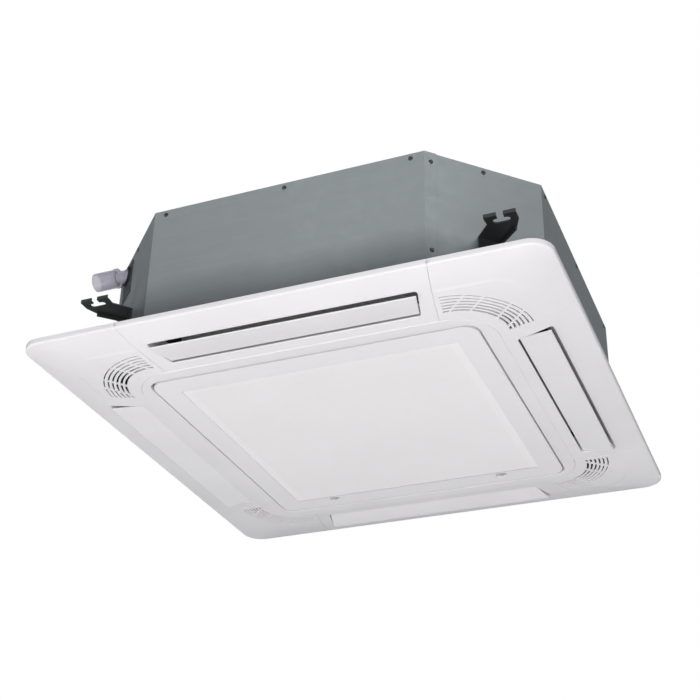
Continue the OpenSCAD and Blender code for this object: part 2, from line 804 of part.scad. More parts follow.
// Places a screw or its hole on the front panel: three on the side, three at the cut corners
module side_screw_places(holes_in_corner) {
    for (x = [-side_screw_x, 0, side_screw_x]) translate([x, -body_half, body_top - screw_drop])
        rotate([90, 0, 0]) children();
    translate([-(cut_sum / 2), -(cut_sum / 2), body_top - screw_drop]) rotate([90, 0, -45])
        translate([0, 0, -sheet_step]) children();
    for (z = [60, body_top - 20]) {
        in = 12 / root2;
        translate([cut_half + in, -body_half + in, z]) rotate([90, 0, 45]) children();
        if (holes_in_corner) translate([-body_half + in, -cut_half - in, z])
            rotate([90, 0, -45]) children();
    }
}

module side_panel(k) {
    color([0.52, 0.55, 0.56]) at_side(k) difference() {
        union() {
            slab(body_base, body_top) side_wall_plan();
            slab(body_base, body_base + sheet) difference() {
                intersection() {
                    octagon(sheet / 2, sheet_step + sheet / 2);
                    polygon([[0, 0], [-2 * body_half, -2 * cut_half - 8], [-2 * body_half, -2 * body_half],
                        [2 * cut_half - 8, -2 * body_half]]);
                }
                difference() {
                    octagon(base_flange, base_flange);
                    rotate(-45) translate([-corner_flange_half, -cut_dist])
                        square([2 * corner_flange_half, corner_flange]);
                }
            }
        }
        side_screw_places(true) translate([0, 0, -12]) cylinder(r = screw_hole_r, h = 16);
        rotate([0, 0, -180]) translate([panel_bolt[0], panel_bolt[1], 0])
            cylinder(r = panel_bolt_r + 0.05, h = 30);
        if (k == front) translate([-body_half, -drain_y, drain_z]) rotate([0, 90, 0])
            cylinder(r = neck_r + 2, h = 100);
        if (k == left) rotate([0, 0, 90]) pipe_holes(3);
        if (k == back) rotate([0, 0, 180]) cable_hole();
    }
}

// Clear holes for the two pipes through the left rear corner
module pipe_holes(g) {
    for (p = [[gas_r, gas_z], [liquid_r, liquid_z]]) translate([-body_half, pipe_y, p[1]])
        rotate([0, 90, 0]) cylinder(r = p[0] + g, h = 100);
}

module cable_hole() {
    translate([cut_sum / 2, cut_sum / 2, cable_z]) rotate([90, 0, 135])
        translate([0, 0, -20]) cylinder(r = 14, h = 40);
}

module casing_top() {
    color([0.55, 0.58, 0.59]) difference() {
        slab(body_top - top_flange, body_top) octagon(top_inset, top_cut_inset);
        slab(body_top - top_flange - 1, body_top - sheet) octagon(top_inset + sheet, top_cut_inset + sheet);
        for (k = [0:3]) at_side(k) side_screw_places(true)
            translate([0, 0, -12]) cylinder(r = screw_hole_r, h = 16);
        for (a = [0:120:240]) rotate([0, 0, a]) translate([motor_foot_r, 0, 200]) cylinder(r = 3, h = 100);
    }
}

module casing_screws() {
    color("silver") for (k = [0:3]) at_side(k) side_screw_places(false) {
        translate([0, 0, 0.05]) cylinder(r1 = screw_head_r, r2 = screw_head_r - 1, h = screw_head_h);
        translate([0, 0, -screw_l]) cylinder(r = screw_r, h = screw_l + 0.1);
    }
}

module insulation_liner() {
    color([0.88, 0.88, 0.86]) difference() {
        slab(pan_top + 0.2, liner_top) octagon(liner_gap, liner_gap + sheet_step);
        slab(pan_top, liner_top - liner_t) octagon(liner_gap + liner_t, liner_gap + sheet_step + liner_t);
        translate([0, 0, 200]) cylinder(r = liner_hole_r, h = 100);
        translate([-body_half, -drain_y, drain_z]) rotate([0, 90, 0]) cylinder(r = neck_r + 2, h = 200);
        pipe_holes(3);
        cable_hole();
    }
}

// Drain pan: a foam tray with air ducts, a trough under the coil and wells for pump and float
module drain_pan() {
    color([0.90, 0.90, 0.88]) difference() {
        slab(pan_base, pan_top) octagon(pan_gap, pan_gap + sheet_step);
        slab(pan_base - 1, pan_top + 1) rsq(pan_open, pan_open_r);
        for (k = [0:3]) at_side(k) slab(pan_base - 1, pan_top + 1)
            outlet_plan(duct_top_inner, body_half + 10, collar_wall);
        slab(pan_top - trough_depth, pan_top + 1) difference() {
            rsq(coil_half + trough_margin, coil_r + trough_margin);
            rsq(coil_half - coil_depth - trough_margin, coil_r - coil_depth);
        }
        for (k = [0:3]) rotate([0, 0, 90 * k]) translate([panel_bolt[0], panel_bolt[1], 0])
            cylinder(r = 5, h = pan_base + 11);
        translate([-pump_x, -drain_y, pan_top - well_depth]) cylinder(r = pump_r + 5, h = 60);
        translate([-float_at[0], -float_at[1], pan_top - well_depth]) cylinder(r = float_r + 4, h = 60);
    }
}

collar_wall = 8;

// Foam collars that line the four air ducts beside the drain pan
module duct_collars() {
    color([0.86, 0.86, 0.84]) for (k = [0:3]) at_side(k) difference() {
        intersection() {
            slab(pan_base, pan_top) octagon(pan_gap, pan_gap + sheet_step);
            slab(pan_base, pan_top) outlet_plan(duct_top_inner, body_half + 10, collar_wall);
        }
        slab(pan_base - 1, pan_top + 1) outlet_plan(duct_top_inner, duct_top_outer, 0);
    }
}

float_at = [346, 257];

// Bellmouth: a dished tray with the fan's inlet throat
module bellmouth() {
    crest = throat_top - 8;
    depth = crest - deck_z + bell_wall;
    air = [for (a = [0:10:90]) [bell_r - (bell_r - throat_r) * cos(a), crest - depth * sin(a)]];
    back = [for (a = [90:-10:0]) [bell_r - (bell_r - throat_r - bell_wall) * cos(a),
        crest - (depth - bell_wall) * sin(a)]];
    color([0.86, 0.87, 0.88]) {
        slab(body_base - 0.4, pan_base - 0.2) difference() {
            rsq(pan_open + 22, pan_open_r);
            rsq(pan_open - 0.4 - bell_wall, pan_open_r - bell_wall);
        }
        slab(body_base - 0.4, deck_z) difference() {
            rsq(pan_open - 0.4, pan_open_r);
            rsq(pan_open - 0.4 - bell_wall, pan_open_r - bell_wall);
        }
        slab(deck_z - bell_wall, deck_z) difference() {
            rsq(pan_open - 0.4, pan_open_r);
            circle(bell_r, $fn = 96);
        }
        rotate_extrude($fn = 96) polygon(concat([[throat_r, throat_top]], air,
            [[bell_r + 1, deck_z - bell_wall], [bell_r + 1, deck_z]], back,
            [[throat_r + bell_wall, throat_top]]));
    }
}

// Hanger drawn at the front right: a foot on the cut corner, an arm and a fork for the hanging rod
module hanger_shape() {
    hx = hang_x / 2;
    hy = hang_y / 2;
    half = fork_w / 2;
    y1 = -hy - hang_slot_w / 2 - fork_bar;
    base = (cut_sum - root2 * sheet_step) / 2 + 0.1;
    foot_in = -15;
    foot_out = 29;
    a = foot_in / root2;
    b = foot_out / root2;
    slot_c = hang_slot_l / 2 - hang_slot_w / 2;
    difference() {
        union() {
            slab(hang_z - hang_t, hang_z) difference() {
                polygon([[base + a, -base + a], [hx - half + 1, -hy + 5], [hx - half, -hy - 6],
                    [hx - half, y1], [hx + half, y1], [hx + half, -hy + 5], [hx + half - 9, -hy + 26],
                    [base + b, -base + b]]);
                translate([hx, -hy]) {
                    for (s = [-1, 1]) translate([s * slot_c, 0]) circle(hang_slot_w / 2);
                    square([2 * slot_c, hang_slot_w], center = true);
                    translate([-hang_mouth / 2, -60]) square([hang_mouth, 60]);
                }
            }
            for (s = [-1, 1]) translate([hx + s * (half + hang_mouth / 2) / 2 - (half - hang_mouth / 2) / 2,
                y1, hang_z - hang_t]) cube([half - hang_mouth / 2, hang_t, hang_t + fork_lip]);
            rotate([0, 0, 45]) translate([foot_in, -base * root2 - hang_t, hang_z - foot_h])
                cube([foot_out - foot_in, hang_t, foot_h]);
            slab(hang_z - hang_t - 6, hang_z) polygon([[hx + half - 9, -hy + 26],
                [base + b, -base + b - hang_t], [base + b - hang_t, -base + b - hang_t],
                [hx + half - 9 - hang_t, -hy + 26 - hang_t]]);
        }
    }
}

module hanger(mx, my) {
    color([0.16, 0.17, 0.17]) mirror([mx, 0, 0]) mirror([0, my, 0]) hanger_shape();
}

module coil_plan(out_in) {
    difference() {
        rsq(coil_half, coil_r);
        rsq(coil_half - coil_depth, coil_r - coil_depth);
        translate([-coil_arc, coil_arc]) rotate(135) polygon([[0, 0],
            300 * [cos(out_in), -sin(out_in)], [400, 0], 300 * [cos(out_in), sin(out_in)]]);
    }
}

// Fin pack, bent round the fan and open at the left rear corner
module coil_fins() {
    n = floor(2 * coil_arc / fin_pitch);
    color([0.78, 0.79, 0.80]) difference() {
        slab(coil_base, coil_top) coil_plan(coil_mouth);
        for (k = [0:3], i = [0:n], d = [0, 1]) at_side(k)
            translate([(i - n / 2) * fin_pitch - fin_groove / 2,
                -coil_half - 1 + d * (coil_depth - 2), coil_base - 1])
                cube([fin_groove, 4, coil_top - coil_base + 2]);
    }
}

module at_coil_end(s) {
    translate([-coil_arc, coil_arc, 0]) rotate([0, 0, 135 + s * (coil_mouth - 0.4)]) children();
}

module coil_end_plates() {
    color([0.60, 0.62, 0.63]) for (s = [-1, 1]) at_coil_end(s)
        translate([coil_r - coil_depth - 3, s < 0 ? 0.3 : -1.5, coil_base])
            cube([coil_depth + 6, 1.2, coil_top - coil_base]);
}

// Return bends at the coil's ends and the two headers
module coil_tubes() {
    pitch = (coil_top - coil_base) / bend_n;
    color([0.72, 0.43, 0.28]) {
        for (s = [-1, 1], i = [0:bend_n - 1]) at_coil_end(s)
            translate([coil_r - coil_depth / 2, s < 0 ? 1.7 : -1.7, coil_base + (i + 0.5) * pitch])
                rotate([90, 0, 90]) rotate([0, 0, s < 0 ? -90 : 90]) rotate_extrude(angle = 180)
                    translate([bend_r, 0]) circle(tube_r, $fn = 24);
        translate([-header_x, pipe_y, 90]) cylinder(r = gas_r, h = gas_z + 14 - 90);
        translate([-liquid_header_x, pipe_y, 90]) cylinder(r = liquid_r + 1, h = liquid_z + 10 - 90);
        for (z = [100, 118, 136]) {
            feeder([-header_x, pipe_y, z], coil_end_at(-1, z));
            feeder([-liquid_header_x, pipe_y, z], coil_end_at(1, z));
        }
    }
}

header_x = 318;
liquid_header_x = header_x + gas_r + liquid_r + 7;

// Place at the outer side of a coil end, just off its plate
function coil_end_at(s, z) = let (a = 135 + s * (coil_mouth - 0.4))
    [-coil_arc + (coil_r - 1) * cos(a) + s * 3.4 * sin(a), coil_arc + (coil_r - 1) * sin(a) - s * 3.4 * cos(a), z];

// Level tube between two points
module feeder(p, q) {
    d = q - p;
    translate(p) rotate([0, 90, atan2(d[1], d[0])]) cylinder(r = 2.5, h = norm(d), $fn = 24);
}

// Pipe from a header through the left rear corner, along -X into its union
module pipe(r, z, x0, header_r) {
    x1 = pipe_end - union_l - 10;
    color([0.74, 0.45, 0.30]) difference() {
        translate([-x1, pipe_y, z]) rotate([0, 90, 0]) difference() {
            cylinder(r = r, h = x1 - x0);
            translate([0, 0, -1]) cylinder(r = r - pipe_wall, h = x1 - x0 - 15);
        }
        translate([-x0, pipe_y, z - 20]) cylinder(r = header_r + 0.05, h = 40);
    }
}

pipe_end = cut_sum - pipe_y + pipe_out;

// Brass unions at the pipes' ends: a hexagon and a round stub for the flare nut
module pipe_unions() {
    color([0.80, 0.66, 0.35]) for (p = [[gas_r, gas_z], [liquid_r, liquid_z]])
        translate([-pipe_end, pipe_y, p[1]]) rotate([0, 90, 0]) difference() {
            union() {
                cylinder(r = p[0] + union_wall, h = union_l + 1);
                translate([0, 0, union_l]) cylinder(r = p[0] + 6, h = 12, $fn = 6);
            }
            translate([0, 0, -1]) cylinder(r = p[0] - pipe_wall, h = 60);
            translate([0, 0, union_l + 10 - 0.05]) cylinder(r = p[0] + 0.05, h = 30);
        }
}

// Plate over the pipe holes on the left rear corner
module pipe_plate() {
    color([0.40, 0.42, 0.43]) difference() {
        rotate([0, 0, 45]) translate([-94, cut_dist - sheet_step + 0.1, liquid_z - 25])
            cube([74, sheet, gas_z - liquid_z + 50]);
        pipe_holes(0.4);
    }
}

module cable_bush() {
    color([0.12, 0.12, 0.12]) translate([cut_sum / 2, cut_sum / 2, cable_z]) rotate([90, 0, 135])
        translate([0, 0, -6]) difference() {
            union() {
                cylinder(r = 13.7, h = 7);
                translate([0, 0, 6 - sheet_step + 0.1]) cylinder(r = 17, h = 3);
            }
            translate([0, 0, -1]) cylinder(r = 9, h = 20);
        }
}

// Fan motor: a ribbed housing with feet
module fan_motor() {
    color([0.45, 0.46, 0.48]) difference() {
        union() {
            translate([0, 0, motor_z]) cylinder(r = motor_r, h = motor_top - motor_z);
            translate([0, 0, motor_z - 4]) cylinder(r = 20, h = 5);
            slab(motor_top - 4, motor_top) for (a = [0:120:240]) rotate(a) {
                translate([0, -12]) square([motor_foot_r, 24]);
                translate([motor_foot_r, 0]) circle(12);
            }
        }
        translate([0, 0, motor_z - 5]) cylinder(r = shaft_r + run_gap, h = 90);
        for (a = [0:120:240]) rotate([0, 0, a]) translate([motor_foot_r, 0, motor_top - 10])
            cylinder(r = 3.2, h = 20);
    }
}

module motor_mounts() {
    color([0.10, 0.10, 0.10]) for (a = [0:120:240]) rotate([0, 0, a]) translate([motor_foot_r, 0, 0]) {
        translate([0, 0, motor_top + 0.1]) cylinder(r = 10, h = body_top - sheet - motor_top - 0.2);
        translate([0, 0, motor_top - 8]) cylinder(r = 3, h = 20);
    }
}

module fan_shaft() {
    color("silver") translate([0, 0, boss_z - 14]) cylinder(r = shaft_r, h = motor_z + 75 - boss_z);
}

// Outline of one backward-curved blade: a circular camber line with an aerofoil's thickness
module blade_plan() {
    n = 12;
    camber = [for (i = [0:n]) let (t = i / n, r = blade_in + t * (fan_r - 1 - blade_in),
        a = -blade_sweep * pow(t, 1.25)) [r * cos(a), r * sin(a)]];
    half = [for (i = [0:n]) let (t = i / n) 0.6 + blade_t * (sqrt(t) - t) * 1.2 * (1 - 0.5 * t)];
    dirs = [for (i = [0:n]) let (p = camber[max(i - 1, 0)], q = camber[min(i + 1, n)]) (q - p) / norm(q - p)];
    polygon(concat([for (i = [0:n]) camber[i] + half[i] * [-dirs[i][1], dirs[i][0]]],
        [for (i = [n:-1:0]) camber[i] - half[i] * [-dirs[i][1], dirs[i][0]]]));
}

function shroud_pt(a, t) = [shroud_r - t + (fan_r + 2 - shroud_r + t) * (1 - cos(a)),
    shroud_z + (shroud_h + t) * sin(a)];

// Turbo fan, in three mouldings: hub plate with a cup for the motor, blades, and a curved shroud
module fan_hub() {
    color([0.20, 0.21, 0.22]) difference() {
        rotate_extrude($fn = 96) polygon([[shaft_r, boss_z], [boss_r, boss_z], [boss_r, cup_z - hub_t],
            [cup_r - 8, cup_z - hub_t], [cup_r + hub_t, cup_z + 8], [cup_r + hub_t + 4, hub_z],
            [fan_r, hub_z], [fan_r, hub_z + hub_t], [cup_r + 2, hub_z + hub_t], [cup_r - 2, cup_z + 9],
            [cup_r - 10, cup_z], [shaft_r, cup_z]]);
        translate([0, 0, boss_z - 1]) cylinder(r = shaft_r, h = 30);
    }
}

module fan_shroud() {
    color([0.22, 0.23, 0.24]) rotate_extrude($fn = 96) polygon(concat(
        [for (a = [0:10:90]) shroud_pt(a, 0)], [for (a = [90:-10:0]) shroud_pt(a, shroud_t)]));
}

module fan_blades() {
    color([0.20, 0.21, 0.22]) intersection() {
        slab(shroud_z, hub_z + 1) for (i = [0:blade_n - 1]) rotate(i * 360 / blade_n) blade_plan();
        rotate_extrude($fn = 96) polygon(concat([for (a = [20:10:90]) shroud_pt(a, shroud_t)],
            [[fan_r, hub_z], [blade_in, hub_z], [blade_in, shroud_z + 70]]));
    }
}

module fan_nut() {
    color("silver") translate([0, 0, boss_z - 12]) difference() {
        union() {
            cylinder(r = 11, h = 10, $fn = 6);
            translate([0, 0, 9.9]) cylinder(r = 14, h = 2);
        }
        translate([0, 0, -1]) cylinder(r = shaft_r, h = 20);
    }
}

// Drain pump: motor column, open suction cage and an elbow that points at the drain
module drain_pump() {
    at = [-pump_x, -drain_y];
    cage = impeller_r + 2;
    color([0.80, 0.81, 0.80]) translate([at[0], at[1], 0]) difference() {
        union() {
            translate([0, 0, pump_base]) cylinder(r = pump_r, h = pump_top - pump_base);
            translate([0, 0, pump_base - 24]) cylinder(r = cage + 1.5, h = 25);
            translate([0, 0, pump_top - 1]) cylinder(r = 9, h = drain_z - pump_top + 1);
            translate([0, 0, drain_z]) sphere(r = 9);
            translate([0, 0, drain_z]) rotate([0, -90, 0]) cylinder(r = 9, h = 34);
        }
        translate([0, 0, pump_base - 25]) cylinder(r = cage, h = 23);
        translate([0, 0, pump_base - 3]) cylinder(r = 2 + run_gap, h = 40);
        translate([-8, 0, drain_z]) rotate([0, -90, 0]) cylinder(r = 7, h = 30);
    }
}

module pump_impeller() {
    color([0.9, 0.9, 0.88]) translate([-pump_x, -drain_y, pump_base - 22]) {
        cylinder(r = 2, h = 50);
        translate([0, 0, 1]) cylinder(r = 4, h = 17);
        for (a = [0:90:270]) rotate([0, 0, a]) translate([0, -0.8, 2]) cube([impeller_r, 1.6, 15]);
    }
}

// Strap that holds the pump and the float stem to the liner
module pump_bracket() {
    out = cut_dist - liner_gap - sheet_step - liner_t - 0.2;
    color([0.62, 0.64, 0.65]) slab(150, 153) difference() {
        union() {
            translate([-pump_x, -drain_y]) circle(pump_r + 3.5);
            rotate(-45) translate([-14, -out]) square([28, 40]);
            translate([-float_at[0], -float_at[1]]) circle(8);
            translate([-(pump_x + float_at[0]) / 2, -(drain_y + float_at[1]) / 2]) rotate(135)
                square([44, 12], center = true);
        }
        translate([-pump_x, -drain_y]) circle(pump_r + 0.1);
        translate([-float_at[0], -float_at[1]]) circle(stem_r + 0.1);
    }
}

float_low = pan_top - well_depth + 4;

module float_stem() {
    color([0.85, 0.85, 0.83]) translate([-float_at[0], -float_at[1], 0]) {
        translate([0, 0, float_low - 3]) cylinder(r = stem_r, h = 170 - float_low);
        translate([0, 0, float_low - 3.6]) cylinder(r = stem_r + 3, h = 3);
        translate([0, 0, 153.2]) cylinder(r = stem_r + 3, h = 3);
    }
}

module float() {
    color([0.95, 0.6, 0.2]) translate([-float_at[0], -float_at[1], float_low]) difference() {
        cylinder(r = float_r, h = float_h);
        translate([0, 0, -1]) cylinder(r = stem_r + 0.1, h = float_h + 2);
    }
}

// Clear socket for the drain pipe, along -X from the front left corner
module drain_socket() {
    color([0.72, 0.72, 0.76, 0.6]) translate([-socket_end, -drain_y, drain_z]) rotate([0, 90, 0]) difference() {
        union() {
            cylinder(r = socket_r + socket_wall, h = socket_l);
            translate([0, 0, socket_l - 6]) cylinder(r = socket_r + socket_wall + 1.5, h = 5);
            translate([0, 0, socket_l - 1]) cylinder(r = neck_r, h = socket_start - pump_x - 14);
        }
        translate([0, 0, -1]) cylinder(r = socket_r, h = socket_depth + 1);
        translate([0, 0, socket_depth - 1]) cylinder(r = 9.1, h = 200);
    }
}

// Rubber grommet on the drain's plate, with the neck through it
module drain_seal() {
    color([0.10, 0.10, 0.11]) difference() {
        rotate([0, 0, -45]) translate([(2 * drain_y - cut_sum) / root2, -(cut_dist - sheet_step + sheet + 0.1),
            drain_z]) rotate([90, 0, 0]) linear_extrude(4) {
            square([8, 2 * (neck_r + 4)], center = true);
            for (s = [-1, 1]) translate([s * 4, 0]) circle(neck_r + 4);
        }
        translate([-socket_start - 1, -drain_y, drain_z]) rotate([0, 90, 0]) cylinder(r = neck_r + 0.1, h = 90);
    }
}

// Small plate round the drain on the front left corner
module drain_plate() {
    color([0.34, 0.36, 0.37]) difference() {
        rotate([0, 0, -45]) translate([-88, -(cut_dist - sheet_step + sheet + 0.1), 175])
            cube([58, sheet, 72]);
        translate([-body_half, -drain_y, drain_z]) rotate([0, 90, 0]) cylinder(r = neck_r + 1, h = 100);
    }
}

module control_box() {
    color([0.60, 0.62, 0.63]) difference() {
        translate([-box_l / 2, box_y, box_top - box_h]) cube([box_l, box_w, box_h]);
        translate([-box_l / 2 + sheet, box_y + sheet, box_top - box_h - 1])
            cube([box_l - 2 * sheet, box_w - 2 * sheet, box_h - sheet + 1]);
    }
}

module control_box_cover() {
    color([0.58, 0.60, 0.61]) translate([0, 0, box_top - box_h - sheet - 0.1]) {
        translate([-box_l / 2 - 3, box_y - 1, 0]) cube([box_l + 6, box_w + 2, sheet]);
        for (s = [-1, 1]) translate([s * (box_l / 2 + 1.7) - 0.5, box_y + 8, 0.1])
            cube([1, box_w - 16, 12]);
    }
}

// Circuit board with relays, capacitor and transformer
module control_board() {
    z = box_top - sheet - 6;
    color([0.10, 0.35, 0.18]) {
        translate([-box_l / 2 + 8, box_y + 6, z - 1.6]) cube([box_l - 80, box_w - 12, 1.6]);
        for (x = [0:1]) for (y = [0:1]) translate([-box_l / 2 + 14 + x * (box_l - 98), box_y + 12 + y * (box_w - 30), z])
            cylinder(r = 3, h = 5.7);
        for (i = [0:3]) translate([-box_l / 2 + 20 + i * 24, box_y + 14, z - 15]) cube([16, 12, 14]);
        translate([-box_l / 2 + 40, box_y + 46, z - 21]) cylinder(r = 9, h = 20);
        translate([-box_l / 2 + 70, box_y + 36, z - 23]) cube([30, 18, 22]);
    }
}

module terminal_block() {
    color([0.15, 0.15, 0.16]) translate([box_l / 2 - 58, box_y + 10, box_top - sheet - 18]) difference() {
        cube([48, box_w - 24, 17.9]);
        for (i = [0:4]) translate([-1, 4 + i * 8.4, -1]) cube([50, 5, 8]);
    }
}

casing_top();
side_panel(front);  // side_panel_front
side_panel(right);  // side_panel_right
side_panel(back);  // side_panel_back
side_panel(left);  // side_panel_left
casing_screws();
insulation_liner();
drain_pan();
duct_collars();
bellmouth();
hanger(0, 0);  // hanger_front_right
hanger(1, 0);  // hanger_front_left
hanger(0, 1);  // hanger_back_right
hanger(1, 1);  // hanger_back_left
coil_fins();
coil_end_plates();
coil_tubes();
pipe(gas_r, gas_z, header_x, gas_r);  // gas_pipe
pipe(liquid_r, liquid_z, liquid_header_x, liquid_r + 1);  // liquid_pipe
pipe_unions();
pipe_plate();
cable_bush();
fan_motor();
motor_mounts();
fan_shaft();
fan_hub();
fan_blades();
fan_shroud();
fan_nut();
drain_pump();
pump_bracket();
pump_impeller();
float_stem();
float();
drain_socket();
drain_seal();
drain_plate();
control_box();
control_box_cover();
control_board();
terminal_block();
back_flange();
panel_ring();
grille_seat();
panel_sides();
panel_corners();
corner_covers();
duct_gaskets();
panel_screws();
vane(front);  // vane_front
vane(right);  // vane_right
vane(back);  // vane_back
vane(left);  // vane_left
vane_motors();
intake_grille();
air_filter();
filter_frame();
grille_hinge_pins();
latch(1);  // latch_right
latch(-1);  // latch_left
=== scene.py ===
import math

import bpy
import numpy as np
from mathutils import Matrix, Vector
from mathutils.geometry import delaunay_2d_cdt


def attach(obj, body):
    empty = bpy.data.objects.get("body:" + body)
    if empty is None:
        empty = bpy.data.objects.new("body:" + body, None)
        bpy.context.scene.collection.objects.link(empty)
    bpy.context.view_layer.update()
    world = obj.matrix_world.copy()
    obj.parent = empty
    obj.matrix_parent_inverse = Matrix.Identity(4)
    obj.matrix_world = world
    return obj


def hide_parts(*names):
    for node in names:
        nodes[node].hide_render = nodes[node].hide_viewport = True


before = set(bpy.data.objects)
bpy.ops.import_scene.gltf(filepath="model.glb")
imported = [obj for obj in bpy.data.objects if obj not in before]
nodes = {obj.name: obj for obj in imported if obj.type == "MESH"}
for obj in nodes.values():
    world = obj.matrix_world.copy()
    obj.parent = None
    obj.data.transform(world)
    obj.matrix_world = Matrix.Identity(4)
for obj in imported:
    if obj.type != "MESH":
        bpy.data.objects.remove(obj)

scene = bpy.context.scene
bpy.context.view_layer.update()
MM = 0.001

# Materials


class Graph:
    """Short calls for building a material with one principled shader, in the object's own coordinates."""

    def __init__(self, name):
        self.mat = bpy.data.materials.new(name)
        self.mat.use_nodes = True
        self.tree = self.mat.node_tree
        self.tree.nodes.clear()
        out = self.tree.nodes.new("ShaderNodeOutputMaterial")
        self.bsdf = self.tree.nodes.new("ShaderNodeBsdfPrincipled")
        self.link(self.bsdf.outputs[0], out.inputs[0])
        self.coord = self.tree.nodes.new("ShaderNodeTexCoord").outputs["Object"]

    def link(self, a, b):
        self.tree.links.new(a, b)

    def feed(self, value, socket):
        """Link an output to the socket, or set a plain value there."""
        if hasattr(value, "is_linked"):
            self.link(value, socket)
        else:
            socket.default_value = value

    def node(self, kind, **values):
        """A node with its settings and input values; an input's name has _ for each space."""
        n = self.tree.nodes.new(kind)
        for k, v in values.items():
            if hasattr(n, k):
                setattr(n, k, v)
            else:
                n.inputs[k.replace("_", " ")].default_value = v
        return n

    def scaled(self, sx, sy, sz):
        m = self.node("ShaderNodeMapping")
        m.inputs["Scale"].default_value = (sx, sy, sz)
        self.link(self.coord, m.inputs["Vector"])
        return m.outputs[0]

    def noise(self, scale, detail=3.0, rough=0.5, vector=None):
        n = self.node("ShaderNodeTexNoise", Scale=scale, Detail=detail, Roughness=rough)
        self.link(vector or self.coord, n.inputs["Vector"])
        return n.outputs["Fac"]

    def cells(self, scale, vector=None):
        n = self.node("ShaderNodeTexVoronoi", Scale=scale)
        self.link(vector or self.coord, n.inputs["Vector"])
        return n.outputs

    def spread(self, value, low, high, a=0.0, b=1.0):
        """The value's range a to b mapped to low to high."""
        m = self.node("ShaderNodeMapRange", From_Min=a, From_Max=b, To_Min=low, To_Max=high)
        self.link(value, m.inputs["Value"])
        return m.outputs[0]

    def tint(self, value, low, high, a=0.3, b=0.7):
        """The value's range a to b as a run of colour from low to high."""
        r = self.node("ShaderNodeValToRGB")
        for element, place, colour in zip(r.color_ramp.elements, (a, b), (low, high)):
            element.position = place
            element.color = (*colour, 1)
        self.link(value, r.inputs[0])
        return r.outputs[0]

    def mixed(self, fac, a, b):
        m = self.node("ShaderNodeMix", data_type="RGBA")
        for value, socket in ((fac, 0), (a, 6), (b, 7)):
            self.feed(value, m.inputs[socket])
        return m.outputs[2]

    def maths(self, kind, *values):
        m = self.node("ShaderNodeMath", operation=kind)
        for value, socket in zip(values, m.inputs):
            self.feed(value, socket)
        return m.outputs[0]

    def place(self):
        """The three coordinates as outputs."""
        s = self.node("ShaderNodeSeparateXYZ")
        self.link(self.coord, s.inputs[0])
        return s.outputs

    def colour(self, value):
        self.link(value, self.bsdf.inputs["Base Color"])

    def gloss(self, value):
        self.link(value, self.bsdf.inputs["Roughness"])

    def bump(self, *layers, edge=0.0):
        """Bump layers of (height output, depth in metres), over edges rounded by the radius edge."""
        normal = None
        if edge:
            normal = self.node("ShaderNodeBevel", samples=4, Radius=edge).outputs[0]
        for height, depth in layers:
            b = self.node("ShaderNodeBump", Strength=1.0, Distance=depth)
            self.link(height, b.inputs["Height"])
            if normal is not None:
                self.link(normal, b.inputs["Normal"])
            normal = b.outputs[0]
        self.link(normal, self.bsdf.inputs["Normal"])

    def set(self, **values):
        for k, v in values.items():
            self.bsdf.inputs[k.replace("_", " ")].default_value = v


def shade(colour, k):
    return tuple(min(1.0, c * k) for c in colour)


def plastic(name, colour, rough, vary=0.02, warm=(1, 1, 1)):
    """Moulded plastic: fine spark-eroded grain, faint flow variation and uneven gloss."""
    g = Graph(name)
    grain = 0.00002
    tone = tuple(c * w for c, w in zip(shade(colour, 1 - 2 * vary), warm))
    g.colour(g.tint(g.noise(5.0, 4.0, 0.6), tone, shade(colour, 1 + vary)))
    g.gloss(g.spread(g.noise(180.0, 2.0, 0.5), rough - 0.05, rough + 0.05, 0.3, 0.7))
    g.bump((g.noise(1400.0, 2.0, 0.6), grain), (g.noise(30.0, 2.0, 0.5), grain * 4), edge=0.0006)
    g.set(Specular_IOR_Level=0.45)
    return g.mat


# Half width of the grille's slatted field, where the painted highlights at its edge start, and the slats'
# pitch, in metres
FIELD_HALF = 0.2622
HIGHLIGHTS_FROM = 0.246
SLAT_PITCH = 0.008


def grille_plastic(name, border, field_shaded):
    """Moulded grille: flat border, slatted field painted darker as shade and slightly warmer, and short
    painted highlights at the slats' ends.
    """
    g = Graph(name)
    rough = 0.44
    x, y, _ = g.place()
    ax = g.maths("ABSOLUTE", x)
    ay = g.maths("ABSOLUTE", y)
    in_field = g.maths("LESS_THAN", g.maths("MAXIMUM", ax, ay), FIELD_HALF)
    at_end = g.maths("MULTIPLY", g.maths("GREATER_THAN", ax, HIGHLIGHTS_FROM), in_field)
    wave = g.maths("SINE", g.maths("MULTIPLY", y, 2 * math.pi / SLAT_PITCH))
    # painted highlight: light marks on the slats' ends, where light catches them
    painted_highlight = g.maths("MULTIPLY", at_end, g.spread(wave, 0.0, 1.0, -0.2, 0.9))
    flow = g.noise(5.0, 4.0, 0.6)
    # painted shade: the slatted field's tone is darker than the border's, though the grille is one moulding
    inner = g.tint(flow, shade(field_shaded, 0.985), shade(field_shaded, 1.01))
    outer = g.tint(flow, shade(border, 0.985), shade(border, 1.01))
    plain = g.mixed(in_field, outer, inner)
    g.colour(g.mixed(g.maths("MULTIPLY", painted_highlight, 0.16), plain, (0.92, 0.92, 0.93, 1)))
    g.gloss(g.spread(g.noise(180.0, 2.0, 0.5), rough - 0.05, rough + 0.05, 0.3, 0.7))
    g.bump((g.noise(1400.0, 2.0, 0.6), 0.00002), edge=0.0005)
    g.set(Specular_IOR_Level=0.45)
    return g.mat


